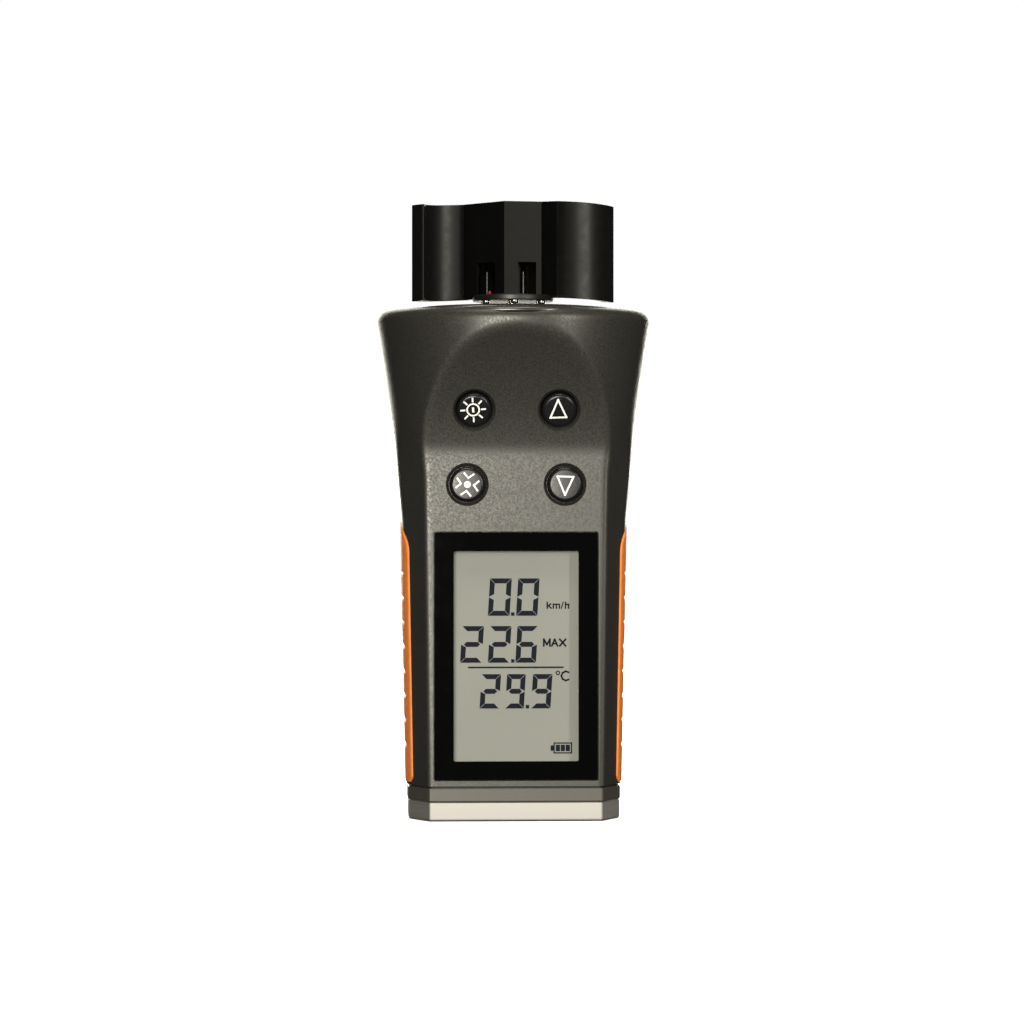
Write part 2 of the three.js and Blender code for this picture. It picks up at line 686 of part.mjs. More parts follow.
function addCells() {
  const depth = CELL_RADIUS + HOLDER_WALL;
  const half = CELL_SPACING / 2 + depth;
  const sleeve = block([-half, CELL_DEPTH - depth, HOLDER_BOTTOM], [half, CELL_DEPTH + depth, HOLDER_TOP]);
  const places = [-CELL_SPACING / 2, CELL_SPACING / 2];
  const bores = places.map((x) => rodUp(x, CELL_DEPTH, HOLDER_BORE, HOLDER_BOTTOM - 1, HOLDER_FLOOR, 20));
  addPart('battery_holder', cutBy(sleeve, bores), FINISHES.blackPlastic);
  places.forEach((x, index) => {
    const shoulder = CELL_TOP - CELL_NUB_HEIGHT;
    const cellBody = rodUp(x, CELL_DEPTH, CELL_RADIUS, CELL_BOTTOM, shoulder, 20);
    const nub = rodUp(x, CELL_DEPTH, CELL_NUB_RADIUS, shoulder - 0.2, CELL_TOP);
    addPart(`battery_${index + 1}`, cellBody.add(nub), FINISHES.cell);
    const contactLow = CELL_TOP + FIT;
    const contact = rodUp(x, CELL_DEPTH, CONTACT_RADIUS, contactLow, contactLow + CONTACT_THICKNESS);
    addPart(`battery_contact_${index + 1}`, contact, FINISHES.steel);
    addPart(`battery_spring_${index + 1}`, coilSpring(x), FINISHES.steel);
  });
}

// A conical coil that presses a cell up from the end cap.
function coilSpring(x) {
  const [turns, stepsPerTurn] = [2.5, 8];
  const low = CAP_TOP + FIT + SPRING_WIRE;
  const high = CELL_BOTTOM - FIT - SPRING_WIRE;
  const points = [];
  for (let step = 0; step <= turns * stepsPerTurn; step += 1) {
    const share = step / (turns * stepsPerTurn);
    const angle = share * turns * 2 * Math.PI;
    const radius = THREE.MathUtils.lerp(SPRING_FOOT, SPRING_TIP, share);
    const height = THREE.MathUtils.lerp(low, high, share);
    points.push(new THREE.Vector3(
      x + radius * Math.cos(angle), CELL_DEPTH + radius * Math.sin(angle), height,
    ));
  }
  const section = new THREE.Shape();
  section.moveTo(SPRING_WIRE, 0);
  for (const turn of [72, 144, 216, 288]) {
    const angle = THREE.MathUtils.degToRad(turn);
    section.lineTo(SPRING_WIRE * Math.cos(angle), SPRING_WIRE * Math.sin(angle));
  }
  const geometry = new THREE.ExtrudeGeometry(section, {
    steps: turns * stepsPerTurn, extrudePath: new THREE.CatmullRomCurve3(points),
  });
  return toSolid(geometry);
}

function addButtons() {
  for (const { name, x, z, stem } of BUTTONS) {
    const flangeBottom = BUTTON_FLANGE_TOP - BUTTON_FLANGE_THICKNESS;
    const profile = [
      [0, -stem], [STEM_RADIUS, -stem], [STEM_RADIUS, flangeBottom], [BUTTON_FLANGE, flangeBottom],
      [BUTTON_FLANGE, BUTTON_FLANGE_TOP], [BUTTON_RADIUS, BUTTON_FLANGE_TOP],
      [BUTTON_RADIUS, BUTTON_PROUD - BUTTON_SHOULDER], [BUTTON_FACE_RADIUS, BUTTON_PROUD],
      [0, BUTTON_PROUD + BUTTON_CROWN],
    ];
    addPart(`button_${name}`, turned(profile, 18, onFace(x, z)), FINISHES.button);
  }
  for (const { name, x, z, stem } of BUTTONS) {
    const height = z + (stem + 1) * Math.sin(Math.atan(faceLean(z)));
    const back = BOARD_FRONT - SEAM;
    const front = back - SWITCH_HEIGHT;
    const [left, right] = [x - SWITCH_HALF_WIDTH, x + SWITCH_HALF_WIDTH];
    const switchBody = block(
      [left, front, height - SWITCH_HALF_WIDTH],
      [right, back, height + SWITCH_HALF_WIDTH],
    );
    const plunger = rodBack(x, height, PLUNGER_RADIUS, front - PLUNGER_PROUD, back - 1);
    addPart(`switch_${name}`, switchBody.add(plunger), FINISHES.blackPlastic);
  }
}

// ---------------------------------------------------------------------------------------------
// Rotor
// ---------------------------------------------------------------------------------------------

const turnedHalf = (points) => points.map(([x, y]) => [-x, -y]);

// Half of the rotor's outline seen from above: out along the blade's convex side, round its tip,
// and back along its hollow side to the hub's corner.
function bladeOutline() {
  const convex = new THREE.SplineCurve([
    [11.2, -6.6], [13.6, -7.05], [17, -6.85], [20.4, -5.8], [23.4, -3.7], [25.7, -0.9], [26.9, 1.3],
  ].map(([x, y]) => new THREE.Vector2(x, y)));
  const hollow = new THREE.SplineCurve([
    [23.6, 2.4], [23.2, 0.4], [21.7, -2.4], [19.5, -4.4], [17, -5.5], [14.2, -6],
  ].map(([x, y]) => new THREE.Vector2(x, y)));
  return [
    [7.4, -2.7],
    ...convex.getPoints(10).map((point) => point.toArray()),
    [24.1, 2.75],
    ...hollow.getPoints(9).map((point) => point.toArray()),
    [13, -5.9],
    [-HUB_CORNER[0], -HUB_CORNER[1]],
  ];
}

const HUB_HOLLOW = [[6.2, -1.56], [2.06, 2.4], [-6.2, 1.56], [-2.06, -2.4]];

// The space between the blades' arched upper and lower edges.
function bladeEnvelope() {
  const drop = (radius) => BLADE_ARCH * (radius / BLADE_SPAN) ** 2;
  const radii = [8, 15, 22, BLADE_SPAN + 1];
  const lower = radii.map((radius) => [radius, BLADE_BOTTOM - drop(radius)]);
  const upper = radii.map((radius) => [radius, BLADE_TOP - drop(radius)]).reverse();
  return turned([[0, BLADE_BOTTOM], ...lower, ...upper, [0, BLADE_TOP]], 24);
}

// Two slots at the foot of the hub, through its slanting wall and its flat wall.
function hubSlots() {
  const [low, high] = [DISC_TOP, BLADE_BOTTOM + SLOT_HEIGHT];
  const through = block([-7.6, -1, low], [-3.2, 1.35, high]);
  const recess = block([-9.5, -1, low], [-7.5, 0.9, high]);
  const slanting = through.add(recess).rotate([0, 0, -HUB_SLANT]).translate([...HUB_CORNER, 0]);
  return [slanting, block([1.2, -5, low], [6, -1.6, high])];
}

function rotorSolid() {
  const outline = bladeOutline();
  const plan = raised([...outline, ...turnedHalf(outline)], BLADE_BOTTOM - 3, BLADE_TOP + 1);
  const blades = plan.intersect(bladeEnvelope());
  const hollow = raised(HUB_HOLLOW, BLADE_BOTTOM - 2, HUB_CAVITY_TOP);
  const slotted = cutBy(blades, [hollow, ...hubSlots()]);
  const disc = turned(diskProfile(HUB_DISC_RADIUS, HUB_DISC_BOTTOM, DISC_TOP), 32);
  const holeTop = MAGNET_TOP + SEAM;
  const magnetHoles = magnetPlaces().map(([x, y]) => rodUp(x, y, MAGNET_RADIUS + SEAM, 130, holeTop));
  return cutBy(slotted.add(disc), [
    rodUp(0, 0, BEARING_RADIUS + SEAM, HUB_DISC_BOTTOM - 1, BLADE_BOTTOM + 1),
    rodUp(0, 0, BEARING_RADIUS + SEAM, HUB_CAVITY_TOP - 1, JEWEL_TOP + 0.1),
    ...magnetHoles,
  ]);
}

function magnetPlaces() {
  return Array.from({ length: MAGNET_COUNT }, (_, index) => {
    const angle = THREE.MathUtils.degToRad(30 + (360 / MAGNET_COUNT) * index);
    return [MAGNET_RING * Math.cos(angle), MAGNET_RING * Math.sin(angle)];
  });
}

function addRotor() {
  addPart('rotor', rotorSolid(), FINISHES.blackPlastic);
  magnetPlaces().forEach(([x, y], index) => {
    const magnet = rodUp(x, y, MAGNET_RADIUS, MAGNET_BOTTOM, MAGNET_TOP);
    addPart(`rotor_magnet_${index + 1}`, magnet, FINISHES.steel);
  });
  const bush = ringProfile(BEARING_BORE, BEARING_RADIUS, HUB_DISC_BOTTOM, DISC_TOP);
  addPart('lower_bush', turned(bush, 16), FINISHES.brass);
  const [low, high] = [HUB_CAVITY_TOP - 1.4, JEWEL_TOP];
  const cup = [
    [BEARING_BORE, low], [BEARING_RADIUS, low], [BEARING_RADIUS, high], [0, high],
    [0, high - 1.2], [BEARING_BORE, high - 2.2], [BEARING_BORE, low],
  ];
  addPart('bearing_jewel', turned(cup, 16), FINISHES.jewel);
}

// The fixed post that the rotor turns on, held in the head cap.
function addPost() {
  const tip = JEWEL_TOP - 1.4;
  const profile = [
    [0, POST_FOOT_BOTTOM], [POST_FOOT_RADIUS, POST_FOOT_BOTTOM],
    [POST_FOOT_RADIUS, POST_FOOT_TOP], [POST_RADIUS, POST_FOOT_TOP],
    [POST_RADIUS, tip - 0.9], [0.3, tip], [0, tip],
  ];
  addPart('rotor_post', turned(profile, 16), FINISHES.steel);
}

addShells();
addHeadCap();
addLowerEnd();
addScrews();
addGrips();
addDisplay();
addElectronics();
addCells();
addButtons();
addRotor();
addPost();

export default meter;
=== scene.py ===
"""Looks of the handheld wind meter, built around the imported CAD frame.

Lengths below are in millimetres in the frame's own axes: +Z up, the display faces -Y.
They become metres when a mesh is made.
"""

import json
import math

import bpy
import numpy as np
from mathutils import Matrix, Vector
from mathutils.geometry import tessellate_polygon


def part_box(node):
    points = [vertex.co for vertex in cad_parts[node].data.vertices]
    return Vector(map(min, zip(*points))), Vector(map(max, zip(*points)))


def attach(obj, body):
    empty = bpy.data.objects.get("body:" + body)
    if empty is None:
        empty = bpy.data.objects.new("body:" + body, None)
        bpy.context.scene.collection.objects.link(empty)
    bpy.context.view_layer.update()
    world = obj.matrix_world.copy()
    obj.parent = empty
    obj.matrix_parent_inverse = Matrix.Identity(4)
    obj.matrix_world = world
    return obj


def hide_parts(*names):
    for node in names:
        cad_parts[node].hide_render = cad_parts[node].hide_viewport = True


MM = 0.001

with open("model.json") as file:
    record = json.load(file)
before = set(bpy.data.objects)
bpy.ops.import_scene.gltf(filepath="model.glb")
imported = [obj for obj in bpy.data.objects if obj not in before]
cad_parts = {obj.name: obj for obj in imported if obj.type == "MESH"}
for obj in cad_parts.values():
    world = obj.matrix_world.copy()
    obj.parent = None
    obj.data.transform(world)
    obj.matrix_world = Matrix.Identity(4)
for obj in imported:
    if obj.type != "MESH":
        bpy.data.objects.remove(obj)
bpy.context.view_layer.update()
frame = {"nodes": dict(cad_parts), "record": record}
nodes = frame["nodes"]


def node_box(name):
    """Lowest and highest corner of a CAD node, in millimetres."""
    low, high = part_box(name)
    return low / MM, high / MM


# ----------------------------------------------------------------------------------------------
# Sizes taken from the frame
# ----------------------------------------------------------------------------------------------

SHELL_LOW, SHELL_HIGH = node_box("front_shell")
CAP_LOW, CAP_HIGH = node_box("head_cap")
BAND_LOW, BAND_HIGH = node_box("end_band")
END_HIGH = node_box("end_cap")[1]
PANE_LOW, PANE_HIGH = node_box("display_window")
LCD_LOW = node_box("lcd_panel")[0]
GRIP_LOW, GRIP_HIGH = node_box("right_grip")
ROTOR_LOW, ROTOR_HIGH = node_box("rotor")

# Housing outline, as in the CAD model
BASE_HALF_WIDTH = 28.1
SIDE_TAPER = 0.02
WAIST_HEIGHT = 78.8
FLARE_SLOPE = 0.078
FLARE_CURVE = 0.00093
SHOULDER_RADIUS = 3.0
SHOULDER_HEIGHT = SHELL_HIGH.z - SHOULDER_RADIUS
FACE_DEPTH = -PANE_LOW.y
FACE_HALF_WIDTH = 22.8
FACE_TAPER = 0.0125
CHAMFER_START = 6.6
ELLIPSE_DEPTH = 28.3
ELLIPSE_GROWTH = 1.2
BLEND_START = 86.0
BLEND_END = 108.0
BROW_HEIGHT = 97.0
BROW_SLOPE = 0.2
BROW_CURVE = 0.0058
BROW_EASE = 4.0
SEAM_HALF_WIDTH, SEAM_DEPTH = 0.1, 0.7
EDGE_SOFTNESS = 1.1
WALL = 2.6
CAVITY_FLOOR = 11.4
CAVITY_ROOF = 130.0

GRIP_THICKNESS = 1.2
GRIP_PROUD = 0.3
GRIP_HALF_DEPTH = GRIP_HIGH.y
GRIP_ROUND = 8.0
GRIP_CLIP = 1.5
GROOVE_START = 19.6
GROOVE_PITCH = 6.45
GROOVE_COUNT = 8
GROOVE_WIDTH = 0.9
GROOVE_DEPTH = 0.5

UPPER_KEYS = ("power", "up")
UPPER_ROW, LOWER_ROW = 107.5, 88.1

PANE_CENTRE = (PANE_LOW.z + PANE_HIGH.z) / 2
PANE_WIDTH, PANE_HEIGHT = PANE_HIGH.x - PANE_LOW.x, PANE_HIGH.z - PANE_LOW.z
PANE_CLEARANCE, PANE_LIP = 0.24, 0.3
VIEW_WIDTH, VIEW_HEIGHT = 32.7, 55.0

PILOT_RADIUS = 1.25
CELL_HALF_WIDTH, CELL_BACK = 12.25, 11
# Beyond the housing on every side, for cutters
FAR, TALL = 60, 200

# Radius and depth of the dished recess round a key, and of the holes for the two kinds of screw
RECESS_PROFILE = [
    (4.85, -9), (4.85, -0.95), (4.95, -0.78), (5.2, -0.5),
    (5.45, -0.2), (5.6, -0.02), (5.72, 0.1), (5.72, 3),
]
REAR_HOLE_PROFILE = [
    (PILOT_RADIUS, -8), (PILOT_RADIUS, 15.6), (2.8, 15.6), (2.8, 16.75), (3.05, 17.02), (3.05, 30),
]
BASE_HOLE_PROFILE = [
    (2.85, -1), (2.85, 0), (2.6, 0.25), (2.6, 1.8), (PILOT_RADIUS, 1.8), (PILOT_RADIUS, 8),
]

KEYS = {"power": "button_power", "up": "button_up", "rotor": "button_rotor", "down": "button_down"}
REAR_SCREWS = [f"rear_screw_{number}" for number in range(1, 5)]
BASE_SCREWS = [f"base_screw_{number}" for number in range(1, 5)]


# ----------------------------------------------------------------------------------------------
# Mesh helpers
# ----------------------------------------------------------------------------------------------

def make_object(name, vertices, faces):
    """A mesh object from millimetre vertices, linked to the scene."""
    mesh = bpy.data.meshes.new(name)
    points = (np.asarray(vertices, float) * MM).tolist()
    mesh.from_pydata(points, [], [list(face) for face in faces])
    mesh.validate()
    piece = bpy.data.objects.new(name, mesh)
    bpy.context.scene.collection.objects.link(piece)
    return piece


def grid_solid(name, rings):
    """A closed solid through rings of points, counter-clockwise seen from the last ring's side."""
    rings = np.asarray(rings, float)
    count, size = rings.shape[:2]
    faces = []
    for ring in range(count - 1):
        for index in range(size):
            after = (index + 1) % size
            low, high = ring * size, (ring + 1) * size
            faces.append((low + index, low + after, high + after, high + index))
    faces.append(tuple(range(size))[::-1])
    faces.append(tuple(range((count - 1) * size, count * size)))
    return make_object(name, rings.reshape(-1, 3), faces)


def lathe(name, profile, steps=96, closed=False):
    """A solid of revolution about Z from (radius, height) points, listed upwards on the outside."""
    angles = np.linspace(0, 2 * math.pi, steps, endpoint=False)
    rings = [
        np.stack([radius * np.cos(angles), radius * np.sin(angles), np.full(steps, height)], 1)
        for radius, height in profile
    ]
    if not closed:
        return grid_solid(name, rings)
    vertices = np.concatenate(rings)
    faces = []
    for ring in range(len(rings)):
        following = (ring + 1) % len(rings)
        for index in range(steps):
            after = (index + 1) % steps
            faces.append((
                ring * steps + index, ring * steps + after,
                following * steps + after, following * steps + index,
            ))
    return make_object(name, vertices, faces)


def prism(name, outline, low, high, axes=Matrix.Identity(4)):
    """An outline of (u, v) points raised from low to high, then placed by a matrix."""
    outline = np.asarray(outline, float)
    rings = [np.column_stack([outline, np.full(len(outline), height)]) for height in (low, high)]
    piece = grid_solid(name, rings)
    place(piece, axes)
    return piece


def place(piece, matrix):
    """Moves a piece's vertices by a matrix whose translation is in millimetres."""
    scaled = matrix.copy()
    scaled.translation = matrix.translation * MM
    piece.data.transform(scaled)
    if matrix.determinant() < 0:
        piece.data.flip_normals()


def block(name, low, high):
    outline = [(low[0], low[1]), (high[0], low[1]), (high[0], high[1]), (low[0], high[1])]
    return prism(name, outline, low[2], high[2])


# Outlines drawn in the YZ plane are raised towards +X.
SIDE_AXES = Matrix(((0, 0, 1, 0), (1, 0, 0, 0), (0, 1, 0, 0), (0, 0, 0, 1)))


def ring_points(radius, angles, height):
    """Points round the vertical axis, one row each."""
    return np.stack([radius * np.cos(angles), radius * np.sin(angles), np.full(len(angles), height)], 1)


def anticlockwise(points):
    """The outline, turned round if it runs clockwise."""
    area = sum(a.x * b.y - b.x * a.y for a, b in zip(points, points[1:] + points[:1]))
    return points[::-1] if area < 0 else points


def rounded_rectangle(width, height, centre, corner, steps=6):
    """(x, z) points of a rectangle with round corners, anticlockwise."""
    points = []
    corners = [(1, -1, -90), (1, 1, 0), (-1, 1, 90), (-1, -1, 180)]
    for side, rise, start in corners:
        for step in range(steps + 1):
            angle = math.radians(start + 90 * step / steps)
            points.append((
                side * (width / 2 - corner) + corner * math.cos(angle),
                centre + rise * (height / 2 - corner) + corner * math.sin(angle),
            ))
    return points


def front_stack(name, layers, centre):
    """A solid of rounded rectangles from the deepest to the frontmost: (width, height, corner, y)."""
    rings = []
    for width, height, corner, depth in layers:
        outline = rounded_rectangle(width, height, centre, corner)
        rings.append([(x, depth, z) for x, z in outline])
    return grid_solid(name, rings)


def baked_mesh(piece):
    """Applies a piece's modifiers to its mesh."""
    bpy.context.view_layer.update()
    graph = bpy.context.evaluated_depsgraph_get()
    mesh = bpy.data.meshes.new_from_object(piece.evaluated_get(graph))
    piece.modifiers.clear()
    piece.data = mesh


def combine(target, others, operation="DIFFERENCE"):
    """Cuts the others from the target, or joins them to it, and removes them."""
    for other in others:
        step = target.modifiers.new("combine", "BOOLEAN")
        step.operation = operation
        step.solver = "MANIFOLD"
        step.object = other
        baked_mesh(target)
        bpy.data.objects.remove(other)
    return target


def smooth(piece, angle=32):
    """Smooth shading with edges sharper than the angle kept."""
    piece.data.shade_smooth()
    piece.data.set_sharp_from_angle(angle=math.radians(angle))
    weights = piece.modifiers.new("weights", "WEIGHTED_NORMAL")
    weights.keep_sharp = True
    baked_mesh(piece)


def finish_piece(piece, body, material, replaces=(), angle=32):
    """Shades a piece, gives it its material, and hands it to its body."""
    smooth(piece, angle)
    piece.data.materials.clear()
    piece.data.materials.append(material)
    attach(piece, body)
    if replaces:
        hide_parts(*replaces)
    return piece


# ----------------------------------------------------------------------------------------------
# Materials
# ----------------------------------------------------------------------------------------------

class Surface:
    """A node material around one Principled shader."""

    def __init__(self, name, color, roughness, metallic=0.0, **values):
        self.material = bpy.data.materials.new(name)
        self.material.use_nodes = True
        self.tree = self.material.node_tree
        self.shader = self.tree.nodes["Principled BSDF"]
        self.set("Base Color", (*color, 1.0))
        self.set("Roughness", roughness)
        self.set("Metallic", metallic)
        for socket, value in values.items():
            self.set(socket.replace("_", " "), value)

    def set(self, socket, value):
        self.shader.inputs[socket].default_value = value

    def node(self, kind, **values):
        made = self.tree.nodes.new(kind)
        for key, value in values.items():
            if key in made.inputs:
                made.inputs[key].default_value = value
            else:
                setattr(made, key, value)
        return made

    def link(self, source, target):
        self.tree.links.new(source, target)

    def noise(self, scale, detail=2.0, stretch=(1, 1, 1)):
        """Noise in the object's own coordinates. The scale is features per metre."""
        place_in_object = self.node("ShaderNodeTexCoord")
        mapping = self.node("ShaderNodeMapping", Scale=stretch)
        texture = self.node("ShaderNodeTexNoise", Scale=scale, Detail=detail)
        self.link(place_in_object.outputs["Object"], mapping.inputs["Vector"])
        self.link(mapping.outputs["Vector"], texture.inputs["Vector"])
        return texture.outputs["Fac"]

    def ramp(self, source, low, high, start=0.3, end=0.7):
        """Maps a factor from start..end to low..high, which are colours or numbers."""
        colors = [value if isinstance(value, tuple) else (value,) * 3 for value in (low, high)]
        made = self.node("ShaderNodeValToRGB")
        for element, position, color in zip(made.color_ramp.elements, (start, end), colors):
            element.position = position
            element.color = (*color, 1.0)
        self.link(source, made.inputs["Fac"])
        return made.outputs["Color"]

    def vary_color(self, source, low, high, **limits):
        self.link(self.ramp(source, low, high, **limits), self.shader.inputs["Base Color"])

    def vary_roughness(self, source, low, high, **limits):
        self.link(self.ramp(source, low, high, **limits), self.shader.inputs["Roughness"])

    def bump(self, source, distance, strength=1.0):
        """Relief of a given height in millimetres."""
        made = self.node("ShaderNodeBump", Strength=strength, Distance=distance * MM)
        self.link(source, made.inputs["Height"])
        current = self.shader.inputs["Normal"]
        if current.is_linked:
            self.link(current.links[0].from_socket, made.inputs["Normal"])
        self.link(made.outputs["Normal"], current)


def lacquer():
    """Metallic grey lacquer with a fine grain."""
    surface = Surface("housing_lacquer", (0.032, 0.03, 0.026), 0.4, 0.1)
    grain = surface.noise(3200, 3)
    surface.vary_color(grain, (0.016, 0.015, 0.0135), (0.036, 0.034, 0.03))
    surface.vary_roughness(surface.noise(2200, 3), 0.31, 0.48, start=0.35, end=0.65)
    surface.bump(grain, 0.02, 0.3)
    return surface.material


def head_lacquer():
    """The same lacquer, smoother, on the head cap."""
    surface = Surface("head_lacquer", (0.032, 0.03, 0.026), 0.27, 0.1)
    surface.vary_color(surface.noise(2600, 2), (0.028, 0.026, 0.023), (0.038, 0.036, 0.031))
    surface.bump(surface.noise(3600, 2), 0.015, 0.2)
    return surface.material


def band_plastic():
    surface = Surface("band_plastic", (0.055, 0.05, 0.043), 0.42, 0.1)
    grain = surface.noise(3800, 3)
    surface.vary_color(grain, (0.045, 0.041, 0.035), (0.065, 0.059, 0.051))
    surface.bump(grain, 0.02, 0.3)
    return surface.material


def brushed_metal():
    surface = Surface("brushed_metal", (0.38, 0.37, 0.36), 0.6, 1.0, Anisotropic=0.3)
    streaks = surface.noise(90, 5, stretch=(1, 1, 120))
    surface.vary_color(streaks, (0.35, 0.34, 0.33), (0.42, 0.41, 0.4))
    surface.vary_roughness(streaks, 0.56, 0.64)
    surface.bump(streaks, 0.003, 0.3)
    return surface.material


def orange_rubber():
    surface = Surface("orange_rubber", (0.72, 0.2, 0.035), 0.55)
    surface.vary_color(surface.noise(700, 3), (0.66, 0.175, 0.028), (0.78, 0.225, 0.042))
    surface.vary_roughness(surface.noise(1800, 2), 0.48, 0.64)
    surface.bump(surface.noise(5000, 2), 0.02, 0.35)
    return surface.material


def gloss_black():
    """The window's printed border under polished plastic."""
    surface = Surface("window_black", (0.0015, 0.0015, 0.0015), 0.03, Specular_IOR_Level=0.3)
    surface.vary_roughness(surface.noise(260, 2), 0.02, 0.04)
    return surface.material


def clear_pane():
    """Clear plastic, see-through with a faint polish."""
    surface = Surface("window_clear", (0.02, 0.02, 0.02), 0.03, Alpha=0.08, Specular_IOR_Level=0.6)
    surface.vary_roughness(surface.noise(260, 2), 0.02, 0.04)
    return surface.material


def display_grey():
    surface = Surface("display_grey", (0.31, 0.315, 0.3), 0.5, Specular_IOR_Level=0.05)
    surface.vary_color(surface.noise(45, 2), (0.315, 0.32, 0.3), (0.335, 0.34, 0.32))
    return surface.material


def segment_ink():
    surface = Surface("segment_ink", (0.006, 0.009, 0.018), 0.5, Specular_IOR_Level=0.05)
    surface.vary_color(surface.noise(400, 2), (0.005, 0.008, 0.016), (0.008, 0.011, 0.021))
    return surface.material


def rotor_plastic():
    surface = Surface("rotor_plastic", (0.004, 0.0036, 0.0032), 0.44, Specular_IOR_Level=0.42)
    surface.vary_roughness(surface.noise(500, 2), 0.41, 0.47)
    surface.bump(surface.noise(1500, 2), 0.008, 0.15)
    return surface.material


def key_plastic():
    surface = Surface("key_plastic", (0.006, 0.006, 0.007), 0.3, Specular_IOR_Level=0.35)
    surface.vary_roughness(surface.noise(1600, 2), 0.27, 0.36)
    surface.bump(surface.noise(4200, 2), 0.01, 0.2)
    return surface.material


def symbol_white():
    surface = Surface("symbol_white", (0.86, 0.86, 0.85), 0.5)
    surface.vary_color(surface.noise(3000, 2), (0.8, 0.8, 0.79), (0.9, 0.9, 0.89))
    return surface.material


def worked_metal(name, color, roughness):
    surface = Surface(name, color, roughness, 1.0)
    darker = tuple(channel * 0.85 for channel in color)
    surface.vary_color(surface.noise(900, 3), darker, color)
    surface.bump(surface.noise(2500, 2, stretch=(1, 1, 6)), 0.008, 0.3)
    return surface.material


def moulded(name, color, roughness=0.55):
    surface = Surface(name, color, roughness)
    darker = tuple(channel * 0.8 for channel in color)
    surface.vary_color(surface.noise(800, 3), darker, color)
    surface.bump(surface.noise(3000, 2), 0.015, 0.25)
    return surface.material


def solder_mask():
    surface = Surface("solder_mask", (0.03, 0.14, 0.06), 0.4)
    tracks = surface.noise(500, 0, stretch=(1, 1, 0.2))
    surface.vary_color(tracks, (0.02, 0.1, 0.045), (0.05, 0.2, 0.09), start=0.48, end=0.52)
    return surface.material


FINISHES = {
    "housing": lacquer(),
    "band": band_plastic(),
    "end_cap": brushed_metal(),
    "grip": orange_rubber(),
    "window": gloss_black(),
    "display": display_grey(),
    "rotor": rotor_plastic(),
    "button": key_plastic(),
    "component": moulded("component_black", (0.02, 0.02, 0.02), 0.5),
    "steel": worked_metal("bright_steel", (0.66, 0.65, 0.63), 0.25),
    "brass": worked_metal("turned_brass", (0.72, 0.5, 0.2), 0.3),
    "board": solder_mask(),
    "seal": moulded("seal_rubber", (0.025, 0.025, 0.025), 0.75),
    "white_plastic": moulded("white_plastic", (0.78, 0.78, 0.75), 0.5),
    "cell": moulded("cell_sleeve", (0.07, 0.1, 0.28), 0.35),
    "jewel": moulded("jewel_red", (0.3, 0.01, 0.03), 0.1),
}
HEAD_FINISH = head_lacquer()
CLEAR = clear_pane()
INK = segment_ink()
WHITE = symbol_white()

# Every CAD node starts with the finish of its slot. Those that show are replaced further down.
for row in frame["record"]["subparts"]:
    slots = nodes[row["node"]].data.materials
    slots.clear()
    slots.append(FINISHES[row["material_slot"]])


# ----------------------------------------------------------------------------------------------
# Housing surface
# ----------------------------------------------------------------------------------------------

def smoothstep(value, start, end):
    share = np.clip((value - start) / (end - start), 0, 1)
    return share * share * (3 - 2 * share)


def soft_minimum(first, second, softness):
    """The smaller of two lengths, rounded where they cross."""
    share = np.clip(0.5 + 0.5 * (second - first) / softness, 0, 1)
    return second + (first - second) * share - softness * share * (1 - share)


def half_width(height):
    flare = np.maximum(0, height - WAIST_HEIGHT)
    taper = SIDE_TAPER * np.minimum(height, WAIST_HEIGHT)
    return BASE_HALF_WIDTH + taper + FLARE_SLOPE * flare + FLARE_CURVE * flare**2


def face_depth(height):
    """Half the depth between the faces. The bend at the brow is eased over a few millimetres."""
    share = np.clip((height - BROW_HEIGHT) / BROW_EASE + 0.5, 0, 1)
    eased = BROW_EASE * share**2 / 2
    rise = np.where(share < 1, eased, height - BROW_HEIGHT)
    return FACE_DEPTH + BROW_SLOPE * rise + BROW_CURVE * rise**2


def face_lean(height):
    return BROW_SLOPE + 2 * BROW_CURVE * (height - BROW_HEIGHT) if height > BROW_HEIGHT else 0.0


def housing_radius(angle, height, inset, softness):
    """Distance from the axis to the housing's surface, moved inwards by the inset."""
    across, along = np.abs(np.cos(angle)) + 1e-9, np.abs(np.sin(angle)) + 1e-9
    side = half_width(height)
    run = side - (FACE_HALF_WIDTH + FACE_TAPER * height)
    drop = FACE_DEPTH - CHAMFER_START
    chamfer = (drop * side + run * CHAMFER_START) / (drop * across + run * along)
    square = soft_minimum(side / across, chamfer, softness)
    depth = ELLIPSE_DEPTH + ELLIPSE_GROWTH * smoothstep(height, BLEND_END, SHOULDER_HEIGHT)
    ellipse = 1 / np.hypot(across / side, along / depth)
    roundness = smoothstep(height, BLEND_START, BLEND_END)
    loft = square + (ellipse - square) * roundness - inset
    return soft_minimum(loft, (face_depth(height) - inset) / along, softness)


def housing_solid(name, inset, low, high, rings, steps, softness=EDGE_SOFTNESS, shoulder=False):
    """The housing's form between two heights. The rings get closer above the waist."""
    below = max(2, int(rings * 0.25))
    heights = np.concatenate([
        np.linspace(low, min(high, WAIST_HEIGHT), below, endpoint=False),
        np.linspace(min(high, WAIST_HEIGHT), min(high, SHOULDER_HEIGHT), rings - below),
    ])
    angles = np.linspace(0, 2 * math.pi, steps, endpoint=False)
    levels = [(height, inset, height) for height in np.unique(heights)]
    if shoulder:
        for turn in np.radians(np.linspace(10, 90, 9)):
            shrink = SHOULDER_RADIUS * (1 - math.cos(turn))
            lifted = SHOULDER_HEIGHT + SHOULDER_RADIUS * math.sin(turn)
            levels.append((SHOULDER_HEIGHT, inset + shrink, lifted))
    loops = []
    for height, shrink, lifted in levels:
        radius = housing_radius(angles, height, shrink, softness)
        loops.append(ring_points(radius, angles, lifted))
    return grid_solid(name, loops)


